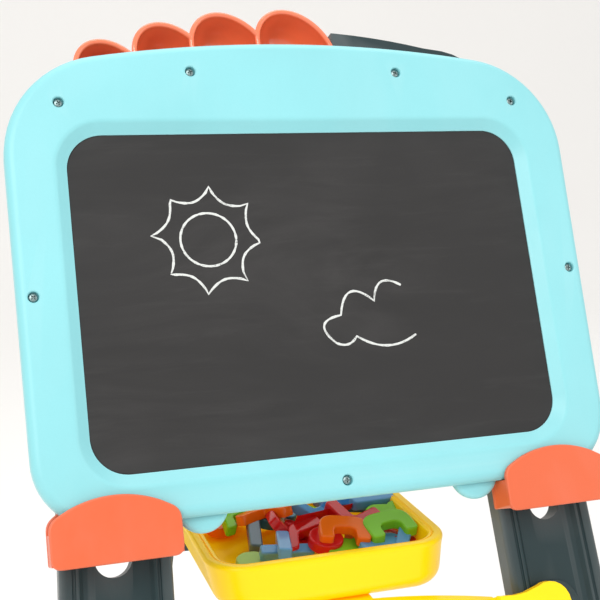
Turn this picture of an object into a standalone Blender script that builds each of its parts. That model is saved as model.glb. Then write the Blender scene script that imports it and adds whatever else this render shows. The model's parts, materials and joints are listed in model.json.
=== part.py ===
"""Children's folding A-frame easel with a framed board, letter bin and cup rack.

Metres, +Z up, origin on the floor below the middle of the easel. The child stands on the -Y side.
The front frame and the board share one leaning frame: u across, v up the slope, w towards the child.
"""

import math

import bmesh
import bpy
from mathutils import Matrix, Vector

# ---------------------------------------------------------------- driving dimensions

OBJECT_NAME = "kids_easel"
GAP = 0.0003

FRONT_LEAN = math.radians(22.4)
REAR_LEAN = math.radians(17.0)
PANEL_CENTRE = Vector((0.0, -0.0260, 0.660))

OPENING_WIDTH = 0.310
OPENING_HEIGHT = 0.2115
OPENING_RADIUS = 0.023
OPENING_CHAMFER = 0.010

BOARD_HALF_TOP = 0.192
BOARD_HALF_BOTTOM = 0.190
BOARD_TOP = 0.169
BOARD_BOTTOM = -0.135
BOARD_CROWN_RADIUS = 0.786
BOARD_TOP_CORNER = 0.060
BOARD_BOTTOM_CORNER = 0.042
BOARD_FRONT = 0.006
BOARD_SPLIT = -0.002
BOARD_BACK = -0.010
BOARD_EDGE_ROUND = 0.006
PANEL_LAP = 0.006
PANEL_THICKNESS = 0.0014
PANEL_STEP = 0.0007
WHITE_FACE = -0.0040
TAB_CENTRE = 0.091
TAB_RADIUS = 0.015
TAB_DROP = 0.010

SCREW_PLACES = (
    (0.0, -0.1242), (-0.1813, 0.003), (0.1813, 0.003), (-0.1573, 0.1253), (0.1573, 0.1253),
    (-0.0719, 0.146), (0.0719, 0.146), (-0.130, -0.1235), (0.130, -0.1235),
)
SCREW_RECESS_RADIUS = 0.0036
SCREW_HEAD_RADIUS = 0.0030
SCREW_SHANK_RADIUS = 0.0014

LEG_FRONT = -0.014
LEG_BACK = -0.030
LEG_INNER = 0.110
LEG_OUTER = 0.1775
LEG_EDGE_LEVEL = -0.155
LEG_INNER_SPLAY = math.radians(2.0)
LEG_OUTER_SPLAY = math.radians(2.8)
LEG_TOP = 0.078
LEG_RAIL = 0.012
LEG_RECESS = 0.0025
LEG_HOLE_RADIUS = 0.01125
LEG_HOLE_U = 0.145
CLIP_HOLE_V = -0.084
OPEN_HOLE_V = -0.153
SUPPORT_HOLE_U = 0.1405
SUPPORT_HOLE_V = -0.222
SUPPORT_HOLE_RADIUS = 0.0085

ARCH_CROWN = 0.1855
ARCH_RADIUS = 0.471
ARCH_INNER_V = 0.092
RACK_LEFT = -0.1465
RACK_RIGHT = 0.0360
RACK_SEAT = 0.140

CLIP_INNER = 0.1065
CLIP_OUTER = 0.1833
CLIP_BOTTOM = -0.1554
CLIP_TOP = -0.1165
CLIP_PLATE = 0.0035

HINGE_V = 0.120
HINGE_W = -0.022
HINGE_PIN_RADIUS = 0.003
REAR_THICKNESS = 0.016
REAR_LEG_TOP_U = 0.0669
REAR_LEG_WIDTH = 0.033
REAR_SPLAY = math.radians(2.6)
HINGE_SLOT_TOP = HINGE_V + 0.0105

RIM_Z = PANEL_CENTRE.z - 0.171
BIN_BOTTOM_Z = PANEL_CENTRE.z - 0.206
BIN_HALF_WIDTH = 0.0855
BIN_FRONT_Y = PANEL_CENTRE.y - 0.032
BIN_BACK_Y = PANEL_CENTRE.y + 0.136
BIN_CORNER = 0.025
BIN_WALL = 0.0025

SUPPORT_THICKNESS = 0.006
SUPPORT_HEIGHT = 0.026
SPINE_HALF_WIDTH = 0.028
SPINE_THICKNESS = 0.009
LOBE_U = 0.1345
LOBE_V = -0.2185
LOBE_RADIUS = 0.015
BOSS_RADIUS = 0.0185
FOOT_HEIGHT = 0.010

COLOURS = {
    "turquoise": (0.33, 0.78, 0.83, 0.42, 0.0),
    "chalkboard": (0.045, 0.043, 0.043, 0.75, 0.0),
    "whiteboard": (0.90, 0.91, 0.92, 0.18, 0.0),
    "sheet_steel": (0.55, 0.56, 0.58, 0.35, 1.0),
    "slate": (0.032, 0.062, 0.068, 0.42, 0.0),
    "orange": (0.88, 0.19, 0.06, 0.38, 0.0),
    "cup_orange": (0.86, 0.13, 0.04, 0.15, 0.0),
    "yellow": (1.0, 0.74, 0.01, 0.30, 0.0),
    "rubber": (0.05, 0.05, 0.055, 0.80, 0.0),
    "screw_steel": (0.62, 0.63, 0.64, 0.25, 1.0),
}

FRONT_FRAME = Matrix.Translation(PANEL_CENTRE) @ Matrix.Rotation(math.pi / 2 - FRONT_LEAN, 4, "X")
HINGE = FRONT_FRAME @ Vector((0.0, HINGE_V, HINGE_W))
REAR_FRAME = Matrix.Translation(HINGE) @ Matrix.Rotation(math.pi / 2 + REAR_LEAN, 4, "X")


# ---------------------------------------------------------------- scene and materials

def clear_scene():
    for item in list(bpy.data.objects):
        bpy.data.objects.remove(item, do_unlink=True)


def new_collection(name):
    collection = bpy.data.collections.new(name)
    bpy.context.scene.collection.children.link(collection)
    return collection


def make_material(name):
    red, green, blue, roughness, metallic = COLOURS[name]
    material = bpy.data.materials.new(name)
    material.use_nodes = True
    shader = material.node_tree.nodes["Principled BSDF"]
    shader.inputs["Base Color"].default_value = (red, green, blue, 1.0)
    shader.inputs["Roughness"].default_value = roughness
    shader.inputs["Metallic"].default_value = metallic
    return material


clear_scene()
PARTS = new_collection(OBJECT_NAME)
CUTTERS = new_collection("cutters")
MATERIALS = {name: make_material(name) for name in COLOURS}


# ---------------------------------------------------------------- outlines

def arc(centre, radius, start, end, steps):
    """Points on a circle from start to end degrees, both ends included."""
    points = []
    for step in range(steps + 1):
        angle = math.radians(start + (end - start) * step / steps)
        points.append((centre[0] + radius * math.cos(angle), centre[1] + radius * math.sin(angle)))
    return points


def mirrored(right_half):
    """A closed outline from its right half, which runs from the bottom middle to the top middle."""
    left_half = [(-u, v) for u, v in reversed(right_half) if u > 1e-6]
    return right_half + left_half


def rounded_rectangle(half_width, half_height, radius, centre=(0.0, 0.0), steps=5):
    points = []
    corners = ((1, -1, -90), (1, 1, 0), (-1, 1, 90), (-1, -1, 180))
    for side_u, side_v, start in corners:
        middle = (centre[0] + side_u * (half_width - radius), centre[1] + side_v * (half_height - radius))
        points += arc(middle, radius, start, start + 90, steps)
    return points


def board_outline(inset=0.0):
    """The board's outline, or one that runs inside it at a constant distance."""
    low_radius = BOARD_BOTTOM_CORNER - inset
    low_centre = (BOARD_HALF_BOTTOM - BOARD_BOTTOM_CORNER, BOARD_BOTTOM + BOARD_BOTTOM_CORNER)
    crown_centre_v = BOARD_TOP - BOARD_CROWN_RADIUS
    top_centre_u = BOARD_HALF_TOP - BOARD_TOP_CORNER
    reach = BOARD_CROWN_RADIUS - BOARD_TOP_CORNER
    top_centre = (top_centre_u, crown_centre_v + math.sqrt(reach ** 2 - top_centre_u ** 2))
    turn = math.degrees(math.atan2(top_centre[1] - crown_centre_v, top_centre_u))
    half = [(0.0, BOARD_BOTTOM + inset)]
    half += arc(low_centre, low_radius, -90, 0, 8)
    half += arc(top_centre, BOARD_TOP_CORNER - inset, 0, turn, 8)
    half += arc((0.0, crown_centre_v), BOARD_CROWN_RADIUS - inset, turn, 90, 6)[1:]
    return mirrored(half)


def leg_edges(v):
    """The leg's inner and outer edge at a height v, on the right-hand side."""
    drop = LEG_EDGE_LEVEL - v
    return LEG_INNER + drop * math.tan(LEG_INNER_SPLAY), LEG_OUTER + drop * math.tan(LEG_OUTER_SPLAY)


def rear_leg_centre(v):
    return REAR_LEG_TOP_U - v * math.tan(REAR_SPLAY)


def flipped(points, side):
    """An outline for the right-hand side, turned over for the left when side is -1."""
    if side > 0:
        return list(points)
    return [(-u, v) for u, v in reversed(points)]


# ---------------------------------------------------------------- solids

def finish(mesh, name, frame, material):
    """Puts a mesh in the model, or among the cutters where it has no material."""
    item = bpy.data.objects.new(name, mesh)
    item.matrix_world = frame
    if material is None:
        CUTTERS.objects.link(item)
        item.hide_render = True
        item.display_type = "WIRE"
        return item
    PARTS.objects.link(item)
    mesh.materials.clear()
    mesh.materials.append(MATERIALS[material])
    return item


def face_outwards(work):
    bmesh.ops.recalc_face_normals(work, faces=work.faces)
    if work.calc_volume(signed=True) < 0:
        bmesh.ops.reverse_faces(work, faces=work.faces)


def plate(name, outline, low, high, frame, material=None):
    """A flat outline, as a filled curve with a thickness, made a closed mesh."""
    curve = bpy.data.curves.new(name, "CURVE")
    curve.dimensions = "2D"
    curve.fill_mode = "BOTH"
    curve.extrude = (high - low) / 2
    spline = curve.splines.new("POLY")
    spline.points.add(len(outline) - 1)
    for point, (u, v) in zip(spline.points, outline):
        point.co = (u, v, 0.0, 1.0)
    spline.use_cyclic_u = True
    guide = bpy.data.objects.new(name + "_outline", curve)
    PARTS.objects.link(guide)
    graph = bpy.context.evaluated_depsgraph_get()
    mesh = bpy.data.meshes.new_from_object(guide.evaluated_get(graph))
    bpy.data.objects.remove(guide, do_unlink=True)
    work = bmesh.new()
    work.from_mesh(mesh)
    bmesh.ops.remove_doubles(work, verts=work.verts, dist=0.00001)
    face_outwards(work)
    work.to_mesh(mesh)
    work.free()
    return finish(mesh, name, frame @ Matrix.Translation((0.0, 0.0, (low + high) / 2)), material)


def stack(name, sections, frame, material=None, smooth=None):
    """A closed moulding lofted through outlines of equal length, each at its own height."""
    work = bmesh.new()
    rings = [[work.verts.new((u, v, height)) for u, v in outline] for outline, height in sections]
    count = len(rings[0])
    for lower, upper in zip(rings, rings[1:]):
        for index in range(count):
            after = (index + 1) % count
            work.faces.new((lower[index], lower[after], upper[after], upper[index]))
    work.faces.new(list(reversed(rings[0])))
    work.faces.new(rings[-1])
    face_outwards(work)
    mesh = bpy.data.meshes.new(name)
    work.to_mesh(mesh)
    work.free()
    if smooth:
        mesh.shade_smooth()
        mesh.set_sharp_from_angle(angle=math.radians(smooth))
    return finish(mesh, name, frame, material)


def cylinder(name, centre, axis, radius, length, frame, material=None, segments=24):
    """A round bar centred on a point, along an axis of its frame."""
    work = bmesh.new()
    turn = Vector(axis).to_track_quat("Z", "Y").to_matrix().to_4x4()
    bmesh.ops.create_cone(work, cap_ends=True, segments=segments, radius1=radius, radius2=radius,
                          depth=length, matrix=Matrix.Translation(centre) @ turn)
    mesh = bpy.data.meshes.new(name)
    work.to_mesh(mesh)
    work.free()
    return finish(mesh, name, frame, material)


def block(name, low, high, frame, material=None):
    """A box between two opposite corners of its frame."""
    low, high = Vector(low), Vector(high)
    work = bmesh.new()
    size = Matrix.Diagonal((high - low).to_4d())
    bmesh.ops.create_cube(work, size=1.0, matrix=Matrix.Translation((low + high) / 2) @ size)
    mesh = bpy.data.meshes.new(name)
    work.to_mesh(mesh)
    work.free()
    return finish(mesh, name, frame, material)


def combine(item, other, operation="DIFFERENCE"):
    modifier = item.modifiers.new(operation.lower() + "_" + other.name, "BOOLEAN")
    modifier.operation = operation
    modifier.object = other
    modifier.solver = "EXACT"


# ---------------------------------------------------------------- board

def screw_holes(name, low):
    """Stepped holes for the board's screws, down to a level low."""
    work = bmesh.new()
    floor = BOARD_FRONT - 0.0035
    steps = ((SCREW_SHANK_RADIUS + GAP, low), (SCREW_SHANK_RADIUS + GAP, floor),
             (SCREW_RECESS_RADIUS, floor), (SCREW_RECESS_RADIUS, 0.010))
    for place in SCREW_PLACES:
        rings = []
        for radius, level in steps:
            circle = arc(place, radius, 0, 342, 19)
            rings.append([work.verts.new((u, v, level)) for u, v in circle])
        for lower, upper in zip(rings, rings[1:]):
            for index, corner in enumerate(lower):
                work.faces.new((lower[index - 1], corner, upper[index], upper[index - 1]))
        work.faces.new(list(reversed(rings[0])))
        work.faces.new(rings[-1])
    face_outwards(work)
    mesh = bpy.data.meshes.new(name)
    work.to_mesh(mesh)
    work.free()
    return finish(mesh, name, FRONT_FRAME, None)


def opening_cutter(name, front_level, lip_level, low):
    """The window in a board shell: straight through the lip, then a chamfer up to the face."""
    half_u, half_v = OPENING_WIDTH / 2, OPENING_HEIGHT / 2
    lip = rounded_rectangle(half_u, half_v, OPENING_RADIUS)
    rise = OPENING_CHAMFER
    face = rounded_rectangle(half_u + rise, half_v + rise, OPENING_RADIUS + rise)
    past = front_level + (front_level - lip_level)
    wide = rounded_rectangle(half_u + 2 * rise, half_v + 2 * rise, OPENING_RADIUS + 2 * rise)
    return stack(name, [(lip, low), (lip, lip_level), (face, front_level), (wide, past)], FRONT_FRAME)


def panel_outline(extra=0.0):
    lap = PANEL_LAP + extra
    return rounded_rectangle(OPENING_WIDTH / 2 + lap, OPENING_HEIGHT / 2 + lap, OPENING_RADIUS)


def make_board():
    edge = BOARD_EDGE_ROUND
    sections = [(board_outline(), BOARD_SPLIT)]
    for step in range(4):
        angle = math.radians(30 * step)
        sections.append((board_outline(edge * (1 - math.cos(angle))), BOARD_FRONT - edge * (1 - math.sin(angle))))
    front = stack("board_frame_front", sections, FRONT_FRAME, "turquoise", smooth=40)
    combine(front, opening_cutter("front_window", BOARD_FRONT, 0.0018, -0.004))
    combine(front, plate("front_pocket", panel_outline(GAP), -0.005, -PANEL_STEP + GAP, FRONT_FRAME))
    combine(front, screw_holes("front_screw_holes", -0.004))

    sections = []
    for step in range(4):
        angle = math.radians(90 - 30 * step)
        inset = 0.5 * edge * (1 - math.cos(angle))
        sections.append((board_outline(inset), BOARD_BACK + 0.5 * edge * (1 - math.sin(angle))))
    sections.append((board_outline(), BOARD_SPLIT - GAP))
    back = stack("board_frame_back", sections, FRONT_FRAME, "turquoise", smooth=40)
    for side in (-1, 1):
        drop = BOARD_BOTTOM - TAB_DROP + TAB_RADIUS
        tab_outline = arc((side * TAB_CENTRE, drop), TAB_RADIUS, -180, 0, 12)
        tab_outline += [(side * TAB_CENTRE + TAB_RADIUS, -0.128), (side * TAB_CENTRE - TAB_RADIUS, -0.128)]
        name = "tab_left" if side < 0 else "tab_right"
        tab = plate(name, tab_outline, BOARD_BACK + 0.001, BOARD_SPLIT - 2 * GAP, FRONT_FRAME)
        combine(back, tab, "UNION")
    window = rounded_rectangle(OPENING_WIDTH / 2, OPENING_HEIGHT / 2, OPENING_RADIUS)
    combine(back, plate("back_window", window, -0.012, 0.0, FRONT_FRAME))
    combine(back, plate("back_pocket", panel_outline(GAP), WHITE_FACE + PANEL_STEP - GAP, 0.0, FRONT_FRAME))
    combine(back, screw_holes("back_screw_holes", -0.0085))

    seen = rounded_rectangle(OPENING_WIDTH / 2 - GAP, OPENING_HEIGHT / 2 - GAP, OPENING_RADIUS - GAP)
    chalk = plate("chalk_panel", panel_outline(), -PANEL_THICKNESS, -PANEL_STEP, FRONT_FRAME, "chalkboard")
    combine(chalk, plate("chalk_face", seen, -PANEL_STEP - 0.0003, 0.0, FRONT_FRAME), "UNION")
    plate("magnet_sheet", panel_outline(), -0.0023, -0.0017, FRONT_FRAME, "sheet_steel")
    white = plate("white_panel", panel_outline(), WHITE_FACE + PANEL_STEP, WHITE_FACE + PANEL_THICKNESS, FRONT_FRAME,
                  "whiteboard")
    combine(white, plate("white_face", seen, WHITE_FACE, WHITE_FACE + PANEL_STEP + 0.0003, FRONT_FRAME), "UNION")

    for number, (u, v) in enumerate(SCREW_PLACES, start=1):
        seat = BOARD_FRONT - 0.0035 + GAP
        name = "board_screw_%d" % number
        screw = cylinder(name, (u, v, seat + 0.0009), (0, 0, 1), SCREW_HEAD_RADIUS, 0.0018, FRONT_FRAME,
                         "screw_steel", 16)
        shank = cylinder(name + "_shank", (u, v, seat - 0.0045), (0, 0, 1), SCREW_SHANK_RADIUS, 0.0100,
                         FRONT_FRAME, None, 12)
        combine(screw, shank, "UNION")


# ---------------------------------------------------------------- front frame

def leg_panel(side, low_v, high_v, hole_end):
    """One recessed panel between the leg's rails; hole_end says which end curves round the support's lobe."""
    inner_low, outer_low = leg_edges(low_v)
    inner_high, outer_high = leg_edges(high_v)
    inner_low, inner_high = inner_low + LEG_RAIL, inner_high + LEG_RAIL
    outer_low, outer_high = outer_low - LEG_RAIL, outer_high - LEG_RAIL
    bulge = arc((SUPPORT_HOLE_U, SUPPORT_HOLE_V), BOSS_RADIUS, 145, 35, 8)
    if hole_end == "bottom":
        outline = [(inner_low, low_v)] + bulge + [(outer_low, low_v), (outer_high, high_v), (inner_high, high_v)]
    else:
        dip = [(u, 2 * SUPPORT_HOLE_V - v) for u, v in reversed(bulge)]
        outline = [(inner_low, low_v), (outer_low, low_v), (outer_high, high_v)] + dip + [(inner_high, high_v)]
    return flipped(outline, side)


def make_front_leg(side):
    name = "front_leg_left" if side < 0 else "front_leg_right"
    foot_v = -0.76
    inner_low, outer_low = leg_edges(foot_v)
    inner_high, outer_high = leg_edges(LEG_TOP)
    tenon = LEG_TOP + 0.028
    tenon_inner, tenon_outer = inner_high + 0.014, outer_high - 0.014
    outline = [(inner_low, foot_v), (outer_low, foot_v), (outer_high, LEG_TOP), (inner_high, LEG_TOP)]
    edge = 0.003
    sections = []
    for inset, level in ((edge, LEG_BACK), (0.0, LEG_BACK + edge), (0.0, LEG_FRONT - edge), (edge, LEG_FRONT)):
        ring = [(inner_low + inset, foot_v), (outer_low - inset, foot_v),
                (outer_high - inset, LEG_TOP), (inner_high + inset, LEG_TOP)]
        sections.append((flipped(ring, side), level))
    leg = stack(name, sections, FRONT_FRAME, "slate")
    tongue = [(tenon_inner, LEG_TOP - 0.004), (tenon_outer, LEG_TOP - 0.004), (tenon_outer, tenon), (tenon_inner, tenon)]
    combine(leg, plate(name + "_tenon", flipped(tongue, side), -0.026, -0.018, FRONT_FRAME), "UNION")
    upper = leg_panel(side, SUPPORT_HOLE_V + 0.006, 0.050, "bottom")
    lower = leg_panel(side, -0.66, SUPPORT_HOLE_V - 0.006, "top")
    for label, panel in (("upper", upper), ("lower", lower)):
        front_recess = ((panel, LEG_FRONT - LEG_RECESS), (panel, -0.010))
        back_recess = ((panel, -0.035), (panel, LEG_BACK + LEG_RECESS))
        combine(leg, stack(name + "_panel_" + label, front_recess, FRONT_FRAME))
        combine(leg, stack(name + "_back_" + label, back_recess, FRONT_FRAME))
    holes = (("clip", LEG_HOLE_U, CLIP_HOLE_V, LEG_HOLE_RADIUS), ("open", LEG_HOLE_U, OPEN_HOLE_V, LEG_HOLE_RADIUS),
             ("support", SUPPORT_HOLE_U, SUPPORT_HOLE_V, SUPPORT_HOLE_RADIUS))
    for label, hole_u, hole_v, radius in holes:
        collar = cylinder(name + "_collar_" + label, (side * hole_u, hole_v, (LEG_FRONT + LEG_BACK) / 2),
                          (0, 0, 1), radius + 0.003, LEG_FRONT - LEG_BACK - 0.003, FRONT_FRAME)
        combine(leg, collar, "UNION")
        hole = cylinder(name + "_hole_" + label, (side * hole_u, hole_v, -0.022), (0, 0, 1), radius, 0.040,
                        FRONT_FRAME)
        combine(leg, hole)
    screw_u = side * (inner_high + outer_high) / 2
    hole = cylinder(name + "_screw_hole", (screw_u, LEG_TOP + 0.014, -0.024), (0, 0, 1), 0.0018, 0.020, FRONT_FRAME,
                    None, 16)
    combine(leg, hole)
    combine(leg, block(name + "_floor_cut", (-0.5, -0.6, -0.2), (0.5, 0.6, FOOT_HEIGHT + GAP), Matrix()))
    return outline


def arch_outline():
    inner, outer = leg_edges(LEG_TOP)
    low = LEG_TOP + GAP
    crown_v = ARCH_CROWN - ARCH_RADIUS
    half = [(0.0, ARCH_INNER_V)]
    half += [(inner - 0.012, ARCH_INNER_V), (inner, low), (outer, low)]
    shoulder = (0.110, 0.112)
    for step in range(9):
        angle = math.radians(10 + 70 * step / 8)
        half.append((shoulder[0] + 0.053 * math.cos(angle), shoulder[1] + 0.0605 * math.sin(angle)))
    for step in range(9):
        u = 0.105 * (1 - step / 8)
        half.append((u, crown_v + math.sqrt(ARCH_RADIUS ** 2 - u ** 2)))
    return mirrored(half)


def make_arch():
    arch = plate("top_arch", arch_outline(), LEG_BACK, LEG_FRONT, FRONT_FRAME, "slate")
    combine(arch, block("rack_notch", (RACK_LEFT, RACK_SEAT, -0.05), (RACK_RIGHT, 0.25, 0.0), FRONT_FRAME))
    inner, outer = leg_edges(LEG_TOP)
    for side in (-1, 1):
        label = "_left" if side < 0 else "_right"
        near, far = REAR_LEG_TOP_U - 0.0180, REAR_LEG_TOP_U + 0.0192
        slot = [(near, 0.060), (far, 0.060), (far, HINGE_SLOT_TOP), (near, HINGE_SLOT_TOP)]
        combine(arch, plate("hinge_slot" + label, flipped(slot, side), -0.05, 0.0, FRONT_FRAME))
        combine(arch, cylinder("hinge_bore" + label, (side * REAR_LEG_TOP_U, HINGE_V, HINGE_W), (1, 0, 0),
                               HINGE_PIN_RADIUS + 0.0002, 0.0566, FRONT_FRAME))
        socket = [(inner + 0.0137, 0.070), (outer - 0.0137, 0.070),
                  (outer - 0.0137, LEG_TOP + 0.0285), (inner + 0.0137, LEG_TOP + 0.0285)]
        combine(arch, plate("tenon_socket" + label, flipped(socket, side), -0.0263, -0.0177, FRONT_FRAME))
        screw_u = side * (inner + outer) / 2
        combine(arch, cylinder("joint_screw_bore" + label, (screw_u, LEG_TOP + 0.014, -0.029), (0, 0, 1), 0.0018, 0.018,
                               FRONT_FRAME, None, 16))
        combine(arch, cylinder("joint_screw_seat" + label, (screw_u, LEG_TOP + 0.014, -0.031), (0, 0, 1), 0.0040, 0.006,
                               FRONT_FRAME, None, 20))
        for prong in (0, 1):
            place = prong_place(prong)
            if side < 0:
                combine(arch, block("prong_slot_%d" % prong, (place - 0.0064, 0.1275, -0.0265),
                                    (place + 0.0064, 0.145, -0.0195), FRONT_FRAME))
        pin = "hinge_pin" + label
        cylinder(pin, (side * REAR_LEG_TOP_U, HINGE_V, HINGE_W), (1, 0, 0), HINGE_PIN_RADIUS, 0.056, FRONT_FRAME, "screw_steel", 20)
        screw = cylinder("joint_screw" + label, (screw_u, LEG_TOP + 0.014, -0.0292), (0, 0, 1), 0.0036, 0.0018,
                         FRONT_FRAME, "screw_steel", 16)
        shank = cylinder("joint_shank" + label, (screw_u, LEG_TOP + 0.014, -0.0245), (0, 0, 1), 0.0015, 0.0085,
                         FRONT_FRAME, None, 12)
        combine(screw, shank, "UNION")


def make_clip(side):
    name = "board_clip_left" if side < 0 else "board_clip_right"
    middle = (CLIP_INNER + CLIP_OUTER) / 2
    half = (CLIP_OUTER - CLIP_INNER) / 2
    shoulder = -0.1275

    def clip_outline(corner, crown, bottom):
        sagitta = crown - shoulder
        radius = (half ** 2 + sagitta ** 2) / (2 * sagitta)
        spread = math.degrees(math.asin((half - 0.004) / radius))
        points = arc((middle - half + corner, bottom + corner), corner, 180, 270, 4)
        points += arc((middle + half - corner, bottom + corner), corner, 270, 360, 4)
        points += [(CLIP_OUTER, shoulder - 0.004)]
        points += arc((middle, crown - radius), radius, 90 - spread, 90 + spread, 12)
        points += [(CLIP_INNER, shoulder - 0.004)]
        return flipped(points, side)

    face = BOARD_FRONT + 0.0005
    clip = plate(name, clip_outline(0.006, CLIP_TOP, CLIP_BOTTOM), face, face + CLIP_PLATE, FRONT_FRAME, "orange")
    back_face = BOARD_BACK - GAP
    rear = clip_outline(0.0015, CLIP_TOP, CLIP_BOTTOM + 0.0014)
    combine(clip, plate(name + "_rear", rear, LEG_FRONT + GAP, back_face, FRONT_FRAME), "UNION")
    web = [(CLIP_INNER + 0.001, CLIP_BOTTOM + 0.0020), (CLIP_OUTER - 0.001, CLIP_BOTTOM + 0.0020),
           (CLIP_OUTER - 0.001, BOARD_BOTTOM - GAP), (CLIP_INNER + 0.001, BOARD_BOTTOM - GAP)]
    combine(clip, plate(name + "_web", flipped(web, side), back_face - 0.002, face + 0.002, FRONT_FRAME), "UNION")
    tongue = [(0.127, -0.130), (0.163, -0.130)] + arc((LEG_HOLE_U, CLIP_HOLE_V), 0.018, 0, 180, 12)
    combine(clip, plate(name + "_tongue", flipped(tongue, side), LEG_FRONT + 2 * GAP, back_face - GAP, FRONT_FRAME),
            "UNION")
    peg = cylinder(name + "_peg", (side * LEG_HOLE_U, CLIP_HOLE_V, -0.017), (0, 0, 1), 0.0108, 0.011, FRONT_FRAME)
    combine(clip, peg, "UNION")


def make_foot(name, frame, thickness_middle, inner, outer, level, side):
    """A rubber shoe on the floor, under the level cut of a leaning leg."""
    centre = frame @ Vector((side * (inner + outer) / 2, level, thickness_middle))
    half_width = (outer - inner) / 2 + 0.002
    half_depth = 0.0115
    base = rounded_rectangle(half_width, half_depth, 0.005, (centre.x, centre.y), 4)
    top = rounded_rectangle(half_width - 0.0015, half_depth - 0.0015, 0.0035, (centre.x, centre.y), 4)
    stack(name, [(base, 0.0), (base, FOOT_HEIGHT - 0.0025), (top, FOOT_HEIGHT)], Matrix(), "rubber")


def make_front_feet():
    middle_w = (LEG_FRONT + LEG_BACK) / 2
    level = -(PANEL_CENTRE.z - FOOT_HEIGHT + middle_w * math.sin(FRONT_LEAN)) / math.cos(FRONT_LEAN)
    inner, outer = leg_edges(level)
    for side, name in ((-1, "front_foot_left"), (1, "front_foot_right")):
        make_foot(name, FRONT_FRAME, middle_w, inner, outer, level, side)


# ---------------------------------------------------------------- cup rack

def cup_places():
    """Each cup's centre, its size against the largest, and its number, from left to right."""
    return (
        (Vector((-0.1188, 0.1505)), 0.86), (Vector((-0.0779, 0.1614)), 0.92),
        (Vector((-0.0367, 0.1668)), 1.0), (Vector((0.0097, 0.1698)), 1.0),
    )


def prong_place(number):
    return (-0.120, 0.010)[number]


CUP_LONG = 0.034
CUP_SHORT = 0.026
CUP_TILT = math.radians(-52.0)
CUP_RIM = 0.003
RACK_FRONT = -0.0125
RACK_BACK = -0.0375
RACK_BASE = 0.0045


def cup_outline(centre, scale, inset=0.0, steps=36):
    points = []
    for step in range(steps):
        angle = 2 * math.pi * step / steps
        along = Vector(((CUP_LONG * scale - inset) * math.cos(angle), (CUP_SHORT * scale - inset) * math.sin(angle)))
        along.rotate(Matrix.Rotation(CUP_TILT, 2))
        points.append((centre.x + along.x, centre.y + along.y))
    return points


def make_rack():
    rack = None
    for number, (centre, scale) in enumerate(cup_places(), start=1):
        outer = cup_outline(centre, scale)
        if rack is None:
            rack = plate("cup_rack", outer, RACK_BACK, RACK_FRONT, FRONT_FRAME, "cup_orange")
        else:
            combine(rack, plate("cup_body_%d" % number, outer, RACK_BACK, RACK_FRONT, FRONT_FRAME), "UNION")
        bowl = []
        for step in range(6):
            angle = math.radians(90 * step / 6)
            inset = CUP_RIM + (CUP_SHORT * scale - CUP_RIM) * (1 - math.cos(angle)) * 0.80
            bowl.append((cup_outline(centre, scale, inset), RACK_FRONT - 0.022 * math.sin(angle)))
        bowl.reverse()
        bowl.append((cup_outline(centre, scale, CUP_RIM), 0.0))
        combine(rack, stack("cup_bowl_%d" % number, bowl, FRONT_FRAME))
    base_low = (RACK_LEFT - 0.002, RACK_SEAT - 0.004, RACK_BACK + 0.0005)
    base_high = (RACK_RIGHT + 0.002, RACK_SEAT + RACK_BASE, RACK_FRONT - 0.0005)
    combine(rack, block("rack_base", base_low, base_high, FRONT_FRAME), "UNION")
    combine(rack, block("rack_trim", (RACK_LEFT + GAP, RACK_SEAT + GAP, -0.06), (RACK_RIGHT - GAP, 0.30, 0.02),
                        FRONT_FRAME), "INTERSECT")
    for prong in (0, 1):
        place = prong_place(prong)
        combine(rack, block("rack_prong_%d" % prong, (place - 0.006, 0.1285, -0.0262), (place + 0.006, 0.1425, -0.0198),
                            FRONT_FRAME), "UNION")


# ---------------------------------------------------------------- rear frame

def crossbar_outline(high_v, low_v, spigot=0.008):
    """A bar that fills the space between the splayed rear legs, with a spigot at each end."""
    middle_v = (high_v + low_v) / 2

    def edge(v):
        return rear_leg_centre(v) - REAR_LEG_WIDTH / 2 - GAP

    tongue = edge(middle_v) + spigot
    third = (high_v - low_v) / 4
    half = [(0.0, low_v), (edge(low_v), low_v), (edge(middle_v - third), middle_v - third), (tongue, middle_v - third),
            (tongue, middle_v + third), (edge(middle_v + third), middle_v + third), (edge(high_v), high_v), (0.0, high_v)]
    return mirrored(half)


CROSSBARS = (("rear_top_bar", -0.055, -0.085), ("rear_bin_crossbar", -0.330, -0.358), ("rear_low_crossbar", -0.690, -0.725))
CROSSBAR_HALF_THICKNESS = 0.006


def make_rear_frame():
    for name, high_v, low_v in CROSSBARS:
        outline = crossbar_outline(high_v, low_v)
        faces = ((outline, -CROSSBAR_HALF_THICKNESS), (outline, CROSSBAR_HALF_THICKNESS))
        bar = stack(name, faces, REAR_FRAME, "slate")
        if name == "rear_bin_crossbar":
            seat = BIN_BOTTOM_Z - SPINE_THICKNESS - 2 * GAP
            half = SPINE_HALF_WIDTH + 0.001
            combine(bar, block("spine_notch", (-half, -0.5, seat), (half, 0.5, seat + 0.1), Matrix()))
    for side, name in ((-1, "rear_leg_left"), (1, "rear_leg_right")):
        make_rear_leg(side, name)


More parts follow.
